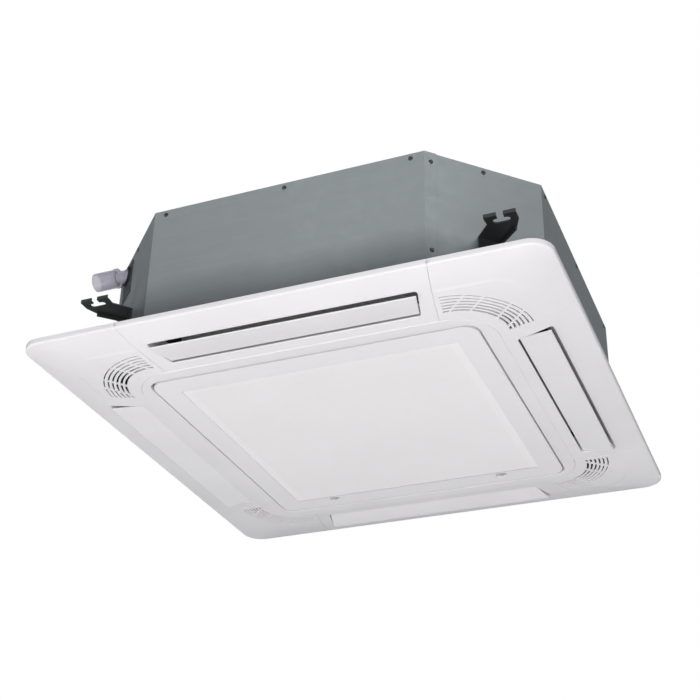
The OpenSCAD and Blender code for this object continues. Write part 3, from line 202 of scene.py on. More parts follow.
def galvanized(name, colour, rough, metallic):
    """Zinc-coated sheet: spangle crystals of differing tone and gloss, streaks, stains, and painted shade
    darkening its foot towards the panel.
    """
    g = Graph(name)
    warp = g.node("ShaderNodeVectorMath", operation="SCALE", Scale=0.004)
    g.link(g.noise(45.0, 2.0, 0.5), warp.inputs[0])
    wavy = g.node("ShaderNodeVectorMath", operation="ADD")
    g.link(g.coord, wavy.inputs[0])
    g.link(warp.outputs[0], wavy.inputs[1])
    split = g.node("ShaderNodeSeparateColor")
    g.link(g.cells(70.0, wavy.outputs[0])["Color"], split.inputs[0])
    crystal = split.outputs[0]
    stain = g.noise(4.0, 5.0, 0.6)
    streak = g.noise(3.0, 3.0, 0.6, g.scaled(1.0, 1.0, 45.0))
    base = g.tint(crystal, shade(colour, 0.93), shade(colour, 1.06), 0.0, 1.0)
    dull = g.tint(stain, shade(colour, 0.90), shade(colour, 1.03))
    sheet = g.mixed(0.45, base, dull)
    lined = g.mixed(g.spread(streak, 0.0, 0.16, 0.45, 0.7), sheet, (*shade(colour, 1.18), 1))
    # painted shade: below 0.11 m the colour darkens towards a fifth of its tone at 0.01 m, where the panel
    # shades the sheet; the stain noise makes the edge uneven
    low = g.maths("ADD", g.place()[2], g.spread(stain, -0.015, 0.015))
    g.colour(g.mixed(g.spread(low, 0.85, 0.0, 0.01, 0.11), lined, (*shade(colour, 0.2), 1)))
    g.gloss(g.spread(crystal, rough - 0.07, rough + 0.08))
    g.bump((g.noise(900.0, 2.0), 0.000012), (g.noise(14.0, 2.0), 0.0005), edge=0.0004)
    g.set(Metallic=metallic)
    return g.mat


def metal(name, colour, rough, brushed=(1, 1, 1)):
    """Bare or plated metal with fine lines along its working direction and slight tarnish."""
    g = Graph(name)
    line = g.noise(300.0, 3.0, 0.6, g.scaled(*brushed))
    g.colour(g.tint(g.noise(22.0, 4.0, 0.6), shade(colour, 0.82), shade(colour, 1.05)))
    g.gloss(g.spread(line, rough - 0.1, rough + 0.14, 0.3, 0.7))
    g.bump((line, 0.00001), edge=0.0003)
    g.set(Metallic=1.0)
    return g.mat


def coated(name, colour, rough, spec=0.4):
    """Powder-coated or painted steel with a light orange-peel surface."""
    g = Graph(name)
    g.colour(g.tint(g.noise(9.0, 4.0), shade(colour, 0.88), shade(colour, 1.12)))
    g.gloss(g.spread(g.noise(60.0, 3.0), rough - 0.08, rough + 0.08, 0.3, 0.7))
    g.bump((g.noise(420.0, 2.0, 0.5), 0.00006), edge=0.0005)
    g.set(Specular_IOR_Level=spec)
    return g.mat


def foam(name, colour, bead=260.0, depth=0.0002, rough=0.8):
    """Moulded bead foam: rounded beads with darker joints."""
    g = Graph(name)
    joint = g.spread(g.cells(bead)["Distance"], 1.0, 0.0, 0.0, 0.9)
    g.colour(g.tint(joint, shade(colour, 0.86), colour, 0.1, 0.6))
    g.gloss(g.spread(g.noise(80.0), rough - 0.08, rough + 0.08))
    g.bump((joint, depth), (g.noise(900.0), depth * 0.2))
    g.set(Specular_IOR_Level=0.25)
    return g.mat


def rubber(name, colour):
    """Dull black rubber with a dusty bloom."""
    g = Graph(name)
    g.colour(g.tint(g.noise(35.0, 4.0), shade(colour, 0.75), shade(colour, 1.5)))
    g.gloss(g.spread(g.noise(130.0), 0.52, 0.74, 0.3, 0.7))
    g.bump((g.noise(700.0, 3.0), 0.00008), edge=0.0004)
    g.set(Specular_IOR_Level=0.35)
    return g.mat


def clear(name, colour):
    """Clear tinted plastic: a glossy shell that lets part of the light through, with faint flow lines."""
    g = Graph(name)
    flow = g.noise(60.0, 3.0, 0.5, g.scaled(0.3, 1.0, 1.0))
    g.colour(g.tint(flow, shade(colour, 0.9), shade(colour, 1.05)))
    g.gloss(g.spread(flow, 0.12, 0.22))
    g.bump((flow, 0.0001), edge=0.0004)
    g.set(Alpha=0.55, Specular_IOR_Level=0.6, Coat_Weight=0.4, Coat_Roughness=0.08)
    return g.mat


def net(name, colour):
    """Fine filter net: round threads crossing both ways."""
    g = Graph(name)
    pitch = 0.0022
    threads = []
    for axis in ("X", "Y"):
        # a wave texture of scale 1 repeats every pi / 10
        w = g.node("ShaderNodeTexWave", bands_direction=axis, Scale=math.pi / 10 / pitch)
        g.link(g.coord, w.inputs["Vector"])
        threads.append(w.outputs["Fac"])
    thread = g.maths("MAXIMUM", *threads)
    g.colour(g.tint(thread, shade(colour, 0.35), shade(colour, 1.3), 0.35, 0.9))
    g.gloss(g.spread(g.noise(200.0), 0.6, 0.8))
    g.bump((thread, 0.0004))
    return g.mat


def fins(name, colour):
    """Stack of thin fins seen edge on: fine upright lines round the coil, with painted shade darkening the
    gaps between the fins.
    """
    g = Graph(name)
    pitch = 0.0016
    x, y, _ = g.place()
    wave = g.maths("SINE", g.maths("MULTIPLY", g.maths("ADD", x, y), 2 * math.pi / pitch))
    # painted shade: the gaps between the fins are drawn down to 0.35 of the metal's colour
    g.colour(g.tint(g.spread(wave, 0, 1, -1, 1), shade(colour, 0.35), colour, 0.2, 0.7))
    g.gloss(g.spread(g.noise(40.0), 0.3, 0.5))
    g.bump((wave, 0.0003))
    g.set(Metallic=0.9)
    return g.mat


MAT = {
    "panel_white": plastic("panel_white", (0.812, 0.793, 0.814), 0.40, warm=(1.0, 1.0, 0.99)),
    "grille_white": grille_plastic("grille_white", (0.830, 0.811, 0.830), (0.737, 0.718, 0.726)),
    "vane_white": plastic("vane_white", (0.826, 0.808, 0.827), 0.38),
    "galvanized": galvanized("galvanized", (0.40, 0.436, 0.448), 0.46, 0.8),
    "dark_plate": coated("dark_plate", (0.05, 0.056, 0.060), 0.45),
    "black_steel": coated("black_steel", (0.028, 0.031, 0.031), 0.36, spec=0.6),
    "screw_dark": metal("screw_dark", (0.10, 0.105, 0.11), 0.4),
    "zinc": metal("zinc", (0.55, 0.56, 0.57), 0.35),
    "foam_white": foam("foam_white", (0.80, 0.80, 0.78)),
    "foam_grey": foam("foam_grey", (0.035, 0.036, 0.04), 600.0, 0.0001, 0.9),
    "aluminium": fins("aluminium", (0.70, 0.71, 0.72)),
    "copper": metal("copper", (0.78, 0.36, 0.22), 0.3, (1, 1, 0.2)),
    "brass": metal("brass", (0.76, 0.56, 0.24), 0.28, (0.1, 1, 1)),
    "rubber_black": rubber("rubber_black", (0.018, 0.018, 0.02)),
    "motor_grey": coated("motor_grey", (0.09, 0.095, 0.10), 0.45),
    "steel": metal("steel", (0.56, 0.57, 0.58), 0.25, (1, 1, 6)),
    "fan_dark": plastic("fan_dark", (0.03, 0.033, 0.037), 0.5, 0.05),
    "bell_grey": plastic("bell_grey", (0.58, 0.59, 0.60), 0.5),
    "pump_white": plastic("pump_white", (0.68, 0.68, 0.66), 0.5),
    "float_orange": plastic("float_orange", (0.80, 0.23, 0.03), 0.45),
    "clear_socket": clear("clear_socket", (0.52, 0.50, 0.60)),
    "board_green": plastic("board_green", (0.012, 0.09, 0.03), 0.35, 0.06),
    "block_black": plastic("block_black", (0.02, 0.02, 0.022), 0.45, 0.05),
    "filter_grey": plastic("filter_grey", (0.04, 0.043, 0.05), 0.5, 0.05),
    "filter_mesh": net("filter_mesh", (0.05, 0.054, 0.062)),
    "latch_grey": plastic("latch_grey", (0.52, 0.51, 0.52), 0.45),
}

FINISH = {
    "galvanized": ["casing_top", "side_panel_front", "side_panel_right", "side_panel_back", "side_panel_left",
                   "coil_end_plates", "pump_bracket", "control_box", "control_box_cover"],
    "dark_plate": ["drain_plate", "pipe_plate"],
    "black_steel": ["hanger_front_right", "hanger_front_left", "hanger_back_right", "hanger_back_left"],
    "screw_dark": ["casing_screws"],
    "zinc": ["panel_screws", "fan_nut", "grille_hinge_pins"],
    "foam_white": ["insulation_liner", "drain_pan"],
    "foam_grey": ["duct_gaskets", "duct_collars"],
    "aluminium": ["coil_fins"],
    "copper": ["coil_tubes", "gas_pipe", "liquid_pipe"],
    "brass": ["pipe_unions"],
    "rubber_black": ["cable_bush", "motor_mounts", "drain_seal"],
    "motor_grey": ["fan_motor", "vane_motors"],
    "steel": ["fan_shaft"],
    "fan_dark": ["fan_hub", "fan_blades", "fan_shroud"],
    "bell_grey": ["bellmouth"],
    "pump_white": ["drain_pump", "pump_impeller", "float_stem"],
    "float_orange": ["float"],
    "clear_socket": ["drain_socket"],
    "board_green": ["control_board"],
    "block_black": ["terminal_block"],
    "panel_white": ["back_flange", "panel_ring", "grille_seat", "panel_sides", "panel_corners",
                    "corner_covers"],
    "grille_white": ["intake_grille"],
    "vane_white": ["vane_front", "vane_right", "vane_back", "vane_left"],
    "filter_grey": ["filter_frame"],
    "filter_mesh": ["air_filter"],
    "latch_grey": ["latch_right", "latch_left"],
}
for finish, names in FINISH.items():
    for name in names:
        mesh = nodes[name].data
        mesh.materials.clear()
        mesh.materials.append(MAT[finish])
        for p in mesh.polygons:
            p.material_index = 0

# The panel's crowned face, in mm, as the solids have it

# Half widths: intake, ring round it, the outlets' inner and outer edge, start of the rounded rim, and rim
INTAKE = 309.0
RING = 335.0
SLOT_IN = 357.0
SLOT_OUT = 422.0
RIM_START = 472.0
RIM = 475.0
# Corner radii of the intake, the ring and the rim
INTAKE_ROUND = 26.0
RING_ROUND = 78.0
RIM_ROUND = 40.0
# Distance from the middle, and corner radius of the level line at that distance
REACH = np.array([300.0, RING, SLOT_IN, SLOT_OUT, RIM_START, 480.0])
ROUND = np.array([90.0, RING_ROUND, 70.0, 60.0, 39.0, 41.6])
# Knots of the crown: distance, height and slope
KNOTS = [(RING - 1, -28.5, 0.055), (SLOT_IN, -27.0, 0.078), (SLOT_OUT, -21.0, 0.145),
         (RIM_START, -11.0, 0.25)]
# Height of the ring's face, and where its walls end behind the skin
RING_Z = -29.5
WALL_Z = -26.5
# Rounded rim: lean where it starts, radius and centre of its section
LEAN = math.atan(KNOTS[-1][2])
LIP = (RIM - RIM_START) / (1 - math.sin(LEAN))
LIP_X = RIM_START - LIP * math.sin(LEAN)
LIP_Z = KNOTS[-1][1] + LIP * math.cos(LEAN)
# Seams between sides and corners: distance from the side's middle at the ring, slope and bend
SEAM_HALF = 254.0
SEAM_SLOPE = 0.16
SEAM_BEND = 0.00018
# Clear gap at the seams of the corner covers
SEAM_GAP = 0.4
# Outlets: half length at the inner edge, splay of the ends, and play that keeps the skin clear of the vanes
SLOT_HALF = 230.0
SLOT_SPLAY = 0.246
SLOT_PLAY = 0.1
# Soft step on the corner covers: level line at its middle, width and height
STEP_AT = 415.0
STEP_WIDTH = 4.0
STEP_HEIGHT = 0.55
# Radius of the seams' and vents' rounded edges, and of the outlets'
SEAM_EDGE = 0.5
SLOT_EDGE = 0.6
# Distances of the fine bands of points along an edge, and of the wider ones inside an outline
EDGE_BANDS = (0.06, 0.18, 0.34, 0.55)
WIDE_BANDS = (1.0, 1.7, 2.4, 3.2)


def height(h):
    """Height of the face at distance h from the middle."""
    z = np.full_like(h, KNOTS[0][1])
    for (a, za, sa), (b, zb, sb) in zip(KNOTS, KNOTS[1:]):
        t = np.clip((h - a) / (b - a), 0, 1)
        k = (2 * t**3 - 3 * t**2 + 1) * za + (t**3 - 2 * t**2 + t) * (b - a) * sa
        k += (-2 * t**3 + 3 * t**2) * zb + (t**3 - t**2) * (b - a) * sb
        z = np.where(h >= a, k, z)
    over = np.clip((h - LIP_X) / LIP, 0, 1)
    return np.where(h > RIM_START, LIP_Z - LIP * np.sqrt(1 - over**2), z)


def level(p):
    """Distance from the middle of the level line through each point."""
    x, y = np.abs(p[:, 0]), np.abs(p[:, 1])
    low = np.maximum(x, y)
    high = low + 40.0
    for _ in range(30):
        h = (low + high) / 2
        r = np.interp(h, REACH, ROUND)
        d = np.hypot(np.maximum(x - h + r, 0), np.maximum(y - h + r, 0)) - r
        low, high = np.where(d > 0, h, low), np.where(d > 0, high, h)
    return np.minimum(h, RIM)


def seam_x(v):
    """Distance of a seam from its side's middle line, at distance v from the panel's middle."""
    out = v - RING
    return SEAM_HALF + SEAM_SLOPE * out + SEAM_BEND * out**2


def slot_end(v):
    """Distance of an outlet's end from its side's middle line, at distance v from the panel's middle."""
    return SLOT_HALF + SLOT_SPLAY * (v - SLOT_IN)


# Plans: loops and lines of points seen from above


def arc(cx, cy, r, a0, a1, n):
    return [(cx + r * math.cos(math.radians(a0 + (a1 - a0) * i / n)),
             cy + r * math.sin(math.radians(a0 + (a1 - a0) * i / n))) for i in range(n + 1)]


def dense(points, step):
    """The line through the points with more points between them, about step apart."""
    out = []
    for p, q in zip(points, points[1:]):
        n = max(1, int(round(math.dist(p, q) / step)))
        out += [(p[0] + (q[0] - p[0]) * i / n, p[1] + (q[1] - p[1]) * i / n) for i in range(n)]
    return out + [tuple(points[-1])]


def closed(loop):
    return np.vstack([loop, loop[:1]])


def clockwise(loop):
    x, y = loop.T
    area = (x * np.roll(y, -1) - y * np.roll(x, -1)).sum()
    return loop if area < 0 else loop[::-1]


def quarter_turn(points, k):
    """The points turned by k quarters about the middle."""
    c, s = math.cos(math.radians(90 * k)), math.sin(math.radians(90 * k))
    return [(x * c - y * s, x * s + y * c) for x, y in points]


def inset(loop, d):
    """The loop moved sideways by d, into the material (to the left of its run)."""
    a = loop - np.roll(loop, 1, 0)
    b = np.roll(loop, -1, 0) - loop
    a /= np.maximum(np.hypot(*a.T), 1e-9)[:, None]
    b /= np.maximum(np.hypot(*b.T), 1e-9)[:, None]
    m = np.stack([-a[:, 1], a[:, 0]], 1) + np.stack([-b[:, 1], b[:, 0]], 1)
    m /= np.maximum((m**2).sum(1), 0.35)[:, None] / 2
    return loop + m * d


def inside(p, loop):
    """Which of the points lie inside the loop."""
    odd = np.zeros(len(p), bool)
    for (ax, ay), (bx, by) in zip(loop, np.roll(loop, -1, 0)):
        if ay != by:
            cross = (ay > p[:, 1]) != (by > p[:, 1])
            odd ^= cross & (p[:, 0] < (bx - ax) * (p[:, 1] - ay) / (by - ay) + ax)
    return odd


def in_plan(p, outline, holes):
    """Which of the points lie inside the outline and outside its holes."""
    good = inside(p, outline)
    for hole in holes:
        good &= ~inside(p, hole)
    return good


def to_edges(p, edges):
    """For each point the distance to the nearest (line, radius) edge, its radius and the way to it."""
    best = np.full(len(p), 1e9)
    radius = np.zeros(len(p))
    way = np.zeros((len(p), 2))
    share = 2000
    for line, r in edges:
        a = line[:-1]
        ab = line[1:] - a
        for i in range(0, len(p), share):
            part = slice(i, i + share)
            q = p[part]
            t = ((q[:, None] - a) * ab).sum(2) / np.maximum((ab**2).sum(1), 1e-12)
            foot = a + np.clip(t, 0, 1)[..., None] * ab
            d = np.hypot(*np.moveaxis(foot - q[:, None], 2, 0))
            j = d.argmin(1)
            k = np.arange(len(q))
            near = d[k, j] < best[part]
            best[part] = np.where(near, d[k, j], best[part])
            radius[part] = np.where(near, r, radius[part])
            way[part] = np.where(near[:, None], foot[k, j] - q, way[part])
    return best, radius, way


def plan_mesh(outline, holes, step):
    """Points and triangles of a plan: bands of points along its edges, and a grid step apart between them."""
    points, chains = [], []

    def chain(loop):
        n = len(points)
        points.extend(map(tuple, loop))
        chains.extend((n + i, n + (i + 1) % len(loop)) for i in range(len(loop)))

    chain(outline)
    for d in EDGE_BANDS + WIDE_BANDS:
        chain(inset(outline, d))
    for hole in holes:
        chain(hole)
        for d in EDGE_BANDS:
            chain(inset(hole, d))
    low, high = outline.min(0), outline.max(0)
    xs = np.arange(low[0] + 2.3, high[0], step)
    ys = np.arange(low[1] + 2.1, high[1], step)
    grid = np.array([(x, y) for x in xs for y in ys])
    grid = grid[in_plan(grid, outline, holes)]
    # the grid keeps clear of the bands
    from_edges, _, _ = to_edges(grid, [(closed(loop), 0.0) for loop in [outline] + holes])
    from_outline, _, _ = to_edges(grid, [(closed(outline), 0.0)])
    points.extend(map(tuple, grid[(from_edges > 1.4) & (from_outline > 4.2)]))
    out = delaunay_2d_cdt([Vector(p) for p in points], chains, [], 0, 1e-4)
    flat = np.array([tuple(v) for v in out[0]])
    tri = np.array([f for f in out[2] if len(f) == 3])
    tri = tri[in_plan(flat[tri].mean(1), outline, holes)]
    used = np.unique(tri)
    index = np.full(len(flat), -1)
    index[used] = np.arange(len(used))
    return flat[used], index[tri]


# Skins of the panel


class Face:
    """The crowned face of one moulding, with its rounded edges and, where asked, the soft step."""

    def __init__(self, edges, stepped=False):
        self.edges = edges
        self.stepped = stepped

    def crown(self, p):
        """Height of the face at each point, without its rounded edges."""
        h = level(p)
        z = height(h)
        if self.stepped:
            t = np.clip((STEP_AT + STEP_WIDTH / 2 - h) / STEP_WIDTH, 0, 1)
            z = z - STEP_HEIGHT * t * t * (3 - 2 * t)
        return z

    def rounded(self, p):
        """For each point its height, the sine of its lean over the nearest edge and the way to that edge."""
        z = self.crown(p)
        d, r, way = to_edges(p, self.edges)
        into = np.clip(r - d, 0, None)
        return z + r - np.sqrt(np.maximum(r**2 - into**2, 0)), into / np.maximum(r, 1e-9), way

    def normals(self, p, sine, way):
        """Unit normals of the true surface at the points."""
        e = 0.05
        gx = (self.crown(p + (e, 0)) - self.crown(p - (e, 0))) / (2 * e)
        gy = (self.crown(p + (0, e)) - self.crown(p - (0, e))) / (2 * e)
        normal = np.stack([gx, gy, -np.ones(len(p))], 1)
        normal /= np.linalg.norm(normal, axis=1)[:, None]
        side = np.zeros((len(p), 3))
        side[:, :2] = way / np.maximum(np.hypot(*way.T), 1e-9)[:, None]
        sine = np.clip(sine, 0, 1)[:, None]
        return normal * np.sqrt(1 - sine**2) + side * sine


def new_object(name, verts, faces, body, material, smooth=True):
    """An object of its own, with its points in metres, that rides on the body."""
    mesh = bpy.data.meshes.new(name)
    mesh.from_pydata([tuple(v) for v in verts], [], faces)
    mesh.polygons.foreach_set("use_smooth", [smooth] * len(faces))
    mesh.materials.append(MAT[material])
    mesh.update()
    o = bpy.data.objects.new(name, mesh)
    scene.collection.objects.link(o)
    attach(o, body)
    return o


def skin(name, outline, holes, face, quarters, deep=1.5, step=5.0):
    """A moulded skin on the face: its plan is the outline less the holes, with upright walls at its edges."""
    outline = clockwise(outline)[::-1]
    holes = [clockwise(hole) for hole in holes]
    flat, tri = plan_mesh(outline, holes, step)
    ab = flat[tri[:, 1]] - flat[tri[:, 0]]
    ac = flat[tri[:, 2]] - flat[tri[:, 0]]
    upward = ab[:, 0] * ac[:, 1] - ab[:, 1] * ac[:, 0] > 0
    tri[upward] = tri[upward][:, ::-1]
    z, sine, way = face.rounded(flat)
    normal = face.normals(flat, sine, way)
    verts = [np.column_stack([flat, z])]
    faces = tri.tolist()
    count = len(flat)
    for loop in [outline] + holes:
        z, _, _ = face.rounded(loop)
        top = np.where(level(loop) > RIM - 0.1, 0.0, z + deep)
        verts += [np.column_stack([loop, z]), np.column_stack([loop, top])]
        n = len(loop)
        faces += [(count + i, count + (i + 1) % n, count + n + (i + 1) % n, count + n + i) for i in range(n)]
        count += 2 * n
    turn = np.array(Matrix.Rotation(math.radians(90 * quarters), 3, "Z")).T
    normal = normal @ turn
    o = new_object(name, np.vstack(verts) * MM @ turn, faces, "cassette", "panel_white")
    mesh = o.data
    # the face gets the normals of the true surface; a zero vector leaves a wall's normals as they are
    given = [(0.0, 0.0, 0.0)] * len(mesh.loops)
    for p in mesh.polygons[:len(tri)]:
        for li in p.loop_indices:
            given[li] = tuple(normal[mesh.loops[li].vertex_index])
    mesh.normals_split_custom_set(given)
    return o


# Sides with their outlets


def slot_loop(grow, fillet=5.0):
    """The outlet's opening in the front side, grown by grow, with rounded corners."""
    near, far = -SLOT_IN + grow, -SLOT_OUT - grow
    near_end, far_end = slot_end(SLOT_IN) + grow, slot_end(SLOT_OUT) + grow
    corner = [(-near_end, near), (near_end, near), (far_end, far), (-far_end, far)]
    out = []
    for i, p in enumerate(corner):
        p = Vector(p)
        a, b = Vector(corner[i - 1]), Vector(corner[(i + 1) % 4])
        u, v = (a - p).normalized(), (b - p).normalized()
        half = u.angle(v) / 2
        run = fillet / math.tan(half)
        centre = p + (u + v).normalized() * (fillet / math.sin(half))
        start, end = p + u * run - centre, p + v * run - centre
        sweep = start.angle_signed(end)
        base = math.atan2(start.y, start.x)
        turns = [base - sweep * k / 8 for k in range(9)]
        out += [(centre.x + fillet * math.cos(t), centre.y + fillet * math.sin(t)) for t in turns]
    return np.array(dense(out + out[:1], 6.0)[:-1])


def side_skins():
    """Four sides, drawn as the front one, each with its outlet."""
    along = np.linspace(RING - 0.1, RIM, 24)
    left = [(-seam_x(v), -v) for v in along]
    right = [(seam_x(v), -v) for v in along]
    rim = dense([left[-1], right[-1]], 6.0)[1:-1]
    inner = dense([right[0], left[0]], 6.0)[1:-1]
    plan = np.array(left + rim + right[::-1] + inner)
    slot = slot_loop(SLOT_PLAY)
    face = Face([(np.array(left), SEAM_EDGE), (np.array(right), SEAM_EDGE), (closed(slot), SLOT_EDGE)])
    for k, side in enumerate(["front", "right", "back", "left"]):
        skin(f"panel_side_{side}", plan, [slot], face, k)


side_skins()

# Ring round the intake

# Its section: distance in from the ring's edge or the intake's, height over the face, change of corner radius
OUTER_EDGE = [(0, 3.5, 0), (0, 0.5, 0), (0.08, 0.3, -0.1), (0.3, 0.12, -0.3), (0.6, 0.02, -0.6), (1, 0, -1),
              (7, 0, -12), (17, 0, -34)]
INNER_EDGE = [(-0.7, 0, 0.7), (-0.4, 0.06, 0.4), (-0.12, 0.25, 0.1), (0, 0.6, 0), (0.02, 1.1, 0),
              (0.02, WALL_Z - RING_Z, 0)]
# Steps of each corner and each straight side
CORNER_STEPS = 12
SIDE_STEPS = 13


def ring_loop(h, r):
    """A square loop at distance h from the middle, with corners of radius r."""
    quarter = arc(h - r, h - r, r, 0, 90, CORNER_STEPS)
    x, y = quarter[-1]
    quarter += [(x + (r - h - x) * i / SIDE_STEPS, y) for i in range(1, SIDE_STEPS)]
    return [p for k in range(4) for p in quarter_turn(quarter, k)]


def ring_skin():
    verts = []
    for half, corner, edge in ((RING, RING_ROUND, OUTER_EDGE), (INTAKE, INTAKE_ROUND, INNER_EDGE)):
        for into, up, wider in edge:
            verts += [(x * MM, y * MM, (RING_Z + up) * MM) for x, y in ring_loop(half - into, corner + wider)]
    per = 4 * (CORNER_STEPS + SIDE_STEPS)
    faces = []
    for i in range(len(OUTER_EDGE) + len(INNER_EDGE) - 1):
        for j in range(per):
            a, b = i * per + j, i * per + (j + 1) % per
            faces.append((a, b, b + per, a + per))
    new_object("ring_skin", verts, faces, "cassette", "panel_white")


ring_skin()

# Corner covers with their arc vents

CORNERS = ["back_right", "back_left", "front_left", "front_right"]
# Centre of the vents on the corner's diagonal, bare margin beside a seam, offsets and half width of the ribs
VENT = 275.0
VENT_MARGIN = 10.0
RIBS = (-54.5, -25.0, 25.0, 54.5)
RIB_HALF = 1.75
# Radius of the first slit, pitch of the slits and their half widths
SLIT_R = 82.0
SLIT_PITCH = 7.9
SLIT_HALF = (2.1, 2.0, 1.7, 1.5, 1.3, 1.05)
# Dark sheet under the vents, standing in for the shade behind them: inner and outer radius, bottom and top
SHADE_SHEET_R = (78.0, 134.0)
SHADE_SHEET_Z = (-13.6, -12.6)


def around(rho, angles):
    """Points about the vents' centre; the angles count from the corner's diagonal."""
    return [(VENT + rho * math.cos(math.pi / 4 + t), VENT + rho * math.sin(math.pi / 4 + t)) for t in angles]


def margin_angle(rho):
    """Angle off the diagonal at which an arc of radius rho meets the bare margin beside a seam."""
    t = np.linspace(0, math.radians(75), 600)
    x = VENT + rho * np.cos(math.pi / 4 + t)
    y = VENT + rho * np.sin(math.pi / 4 + t)
    past = x < seam_x(y) + VENT_MARGIN
    return float(t[past.argmax()])


def slit_end(rho, rib, side):
    """Angle at which a slit ends on one side (-1 or 1): beside a rib, or at the margin where rib is None."""
    if rib is None:
        return side * margin_angle(rho)
    return math.asin((rib - side * RIB_HALF) / rho)


def vent_loops():
    """The vents' openings in the back right corner: slits about one centre, cut by straight ribs."""
    loops = []
    for i, half in enumerate(SLIT_HALF):
        rho = SLIT_R + SLIT_PITCH * i
        n = max(4, int(rho / 5))
        cuts = [None, *RIBS, None]
        for a, b in zip(cuts, cuts[1:]):
            outer = np.linspace(slit_end(rho + half, a, -1), slit_end(rho + half, b, 1), n)
            inner = np.linspace(slit_end(rho - half, b, 1), slit_end(rho - half, a, -1), n)
            loops.append(np.array(around(rho + half, outer) + around(rho - half, inner)))
    return loops


def cover_skins():
    """Four covers, drawn in the back right corner; seam_a is the seam to the back side."""
    along = np.linspace(RING + SEAM_GAP, RIM, 26)
    seam_a = [(seam_x(v) + SEAM_GAP, v) for v in along]
    seam_b = [(y, x) for x, y in seam_a]
    bend = RIM - RIM_ROUND
    rim = dense([seam_a[-1], (bend, RIM)], 6.0)[1:-1]
    rim += arc(bend, bend, RIM_ROUND, 90, 0, 18)
    rim += dense([(RIM, bend), seam_b[-1]], 6.0)[1:-1]
    bend = RING - RING_ROUND
    start = RING + SEAM_GAP
    inner = dense([seam_b[0], (start, bend)], 3.0)[1:-1]
    inner += arc(bend, bend, RING_ROUND + SEAM_GAP, 0, 90, 20)
    inner += dense([(bend, start), seam_a[0]], 3.0)[1:-1]
    plan = np.array(seam_a + rim + seam_b[::-1] + inner)
    vents = vent_loops()
    lines = [np.array(seam_a), np.array(seam_b), np.array([seam_b[0]] + inner + [seam_a[0]])]
    face = Face([(line, SEAM_EDGE) for line in lines + [closed(v) for v in vents]], stepped=True)
    for k, corner in enumerate(CORNERS):
        o = skin("cover_skin_" + corner, plan, vents, face, k, deep=2.5, step=4.5)
        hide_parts("corner_covers")


def corner_shade_sheet():
    """Dark sheet of painted shade over each corner's shelf, seen through the vents; it takes the dark foam
    finish.
    """
    near, far = SHADE_SHEET_R
    near_end, far_end = margin_angle(near) - 0.02, margin_angle(far) - 0.02
    plan = around(far, np.linspace(-far_end, far_end, 25))
    plan += around(near, np.linspace(near_end, -near_end, 17))
    n = len(plan)
    faces = [tuple(range(n))[::-1], tuple(range(n, 2 * n))]
    faces += [(i, (i + 1) % n, n + (i + 1) % n, n + i) for i in range(n)]
    for k, corner in enumerate(CORNERS):
        # painted shade: a dark sheet laid where the real corner has only shade, so the slits look dark
        verts = [(x * MM, y * MM, z * MM) for z in SHADE_SHEET_Z for x, y in quarter_turn(plan, k)]
        new_object("corner_shade_sheet_" + corner, verts, faces, "cassette", "foam_grey", smooth=False)


cover_skins()
corner_shade_sheet()


def back_of(name):
    """Copy of a panel solid that stands behind the skins, with its visible face drawn back under them."""
    back = bpy.data.objects.new(name + "_back", nodes[name].data.copy())
    scene.collection.objects.link(back)
    co = np.zeros(len(back.data.vertices) * 3)
    back.data.vertices.foreach_get("co", co)
    co = co.reshape(-1, 3) / MM
    reach = level(co[:, :2])
    far = np.abs(co[:, :2]).max(1)
    # the crowned face moves up
    face_z = np.interp(far, [k[0] for k in KNOTS] + [RIM], [k[1] for k in KNOTS] + [-8.0])
    on_face = (np.abs(co[:, 2] - face_z) < 0.4) & (far > RING - 0.5)
    co[on_face, 2] += 1.2
    # the rim moves in by 1 mm
    on_rim = far > RIM_START - 0.1
    on_x = np.abs(co[:, 0]) > np.abs(co[:, 1])
    for axis, mine in ((0, on_x), (1, ~on_x)):
        drawn = on_rim & mine
        co[drawn, axis] -= np.sign(co[drawn, axis])
    # the ring's face moves up, and its outer wall in
    co[co[:, 2] < RING_Z + 0.3, 2] += 0.8
    ring_wall = (np.abs(reach - RING) < 0.3) & (co[:, 2] < WALL_Z)
    co[ring_wall, :2] *= 0.998
    back.data.vertices.foreach_set("co", (co * MM).ravel())
    back.data.update()
    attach(back, "cassette")
    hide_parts(name)


for name in ("panel_sides", "panel_ring"):
    back_of(name)

# Stage, light and camera, in metres

FLOOR_HALF = 9
FLOOR_Z = -2.6


def paper():
    g = Graph("floor_paper")
    g.colour(g.tint(g.noise(1.5, 3.0), (0.80, 0.80, 0.80), (0.84, 0.84, 0.84)))
    g.set(Roughness=0.9)
    return g.mat


mesh = bpy.data.meshes.new("floor")
mesh.from_pydata([(x * FLOOR_HALF, y * FLOOR_HALF, FLOOR_Z) for x, y in ((-1, -1), (1, -1), (1, 1), (-1, 1))],
                 [], [(0, 1, 2, 3)])
mesh.materials.append(paper())
floor = bpy.data.objects.new("floor", mesh)
scene.collection.objects.link(floor)


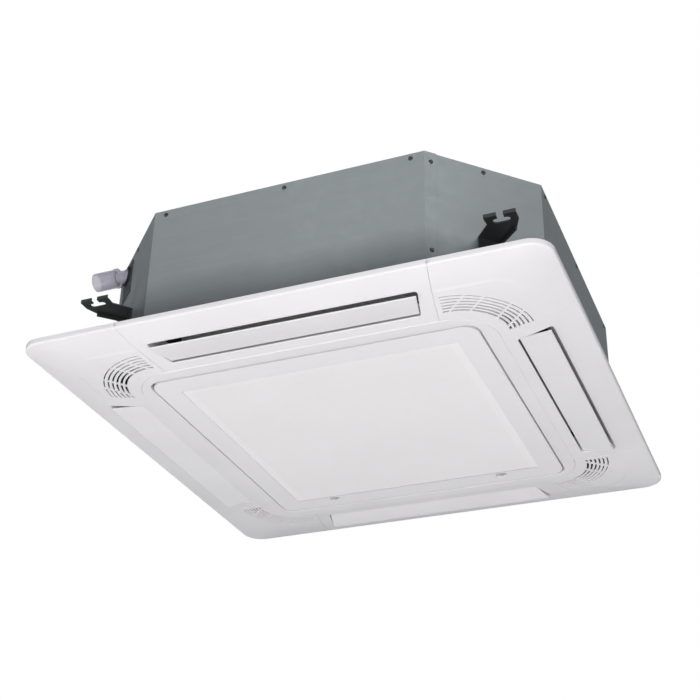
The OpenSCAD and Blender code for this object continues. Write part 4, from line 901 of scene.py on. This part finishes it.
def studio():
    """World that lights the part softly and looks white to the camera."""
    world = bpy.data.worlds.new("studio")
    world.use_nodes = True
    tree = world.node_tree
    tree.nodes.clear()
    out = tree.nodes.new("ShaderNodeOutputWorld")
    soft = tree.nodes.new("ShaderNodeBackground")
    white = tree.nodes.new("ShaderNodeBackground")
    mix = tree.nodes.new("ShaderNodeMixShader")
    path = tree.nodes.new("ShaderNodeLightPath")
    soft.inputs[0].default_value = (0.95, 0.975, 1.0, 1)
    soft.inputs[1].default_value = 0.22
    white.inputs[0].default_value = (1, 1, 1, 1)
    white.inputs[1].default_value = 1.0
    tree.links.new(path.outputs["Is Camera Ray"], mix.inputs[0])
    tree.links.new(soft.outputs[0], mix.inputs[1])
    tree.links.new(white.outputs[0], mix.inputs[2])
    tree.links.new(mix.outputs[0], out.inputs[0])
    return world


def softbox(name, place, aim, size, watts):
    data = bpy.data.lights.new(name, "AREA")
    data.shape = "SQUARE"
    data.size = size
    data.energy = watts
    lamp = bpy.data.objects.new(name, data)
    scene.collection.objects.link(lamp)
    lamp.location = place
    lamp.rotation_euler = (Vector(aim) - Vector(place)).to_track_quat("-Z", "Y").to_euler()


scene.world = studio()
softbox("key_front", (0.9, -4.6, -0.6), (0, 0, 0.05), 2.4, 50)
softbox("camera_side", (1.9, -4.0, -2.2), (0, 0, 0.0), 1.8, 26)
softbox("fill_right", (3.2, 0.6, -2.45), (0, 0, -0.3), 2.4, 30)
softbox("fill_left", (-3.0, -0.8, -2.3), (0, 0, 0.0), 2.4, 40)
softbox("from_below", (0.2, -0.7, -2.55), (0, 0, 0), 5.0, 124)
softbox("top_front", (-0.9, -3.2, 2.3), (0, -0.4, 0.15), 2.2, 10)
softbox("top_right", (2.6, -2.2, 2.2), (0.3, -0.3, 0.15), 2.0, 20)

# Place, turn and lens solved from the panel's corners and seams in the photo
camera = bpy.data.objects.new("camera", bpy.data.cameras.new("camera"))
scene.collection.objects.link(camera)
camera.location = (0.83357, -2.11140, -1.16289)
camera.rotation_euler = (2.09468, -0.01972, 0.38180)
camera.data.sensor_width = 36
camera.data.lens = 68.434
scene.camera = camera
scene.view_settings.view_transform = "Standard"
scene.view_settings.look = "None"
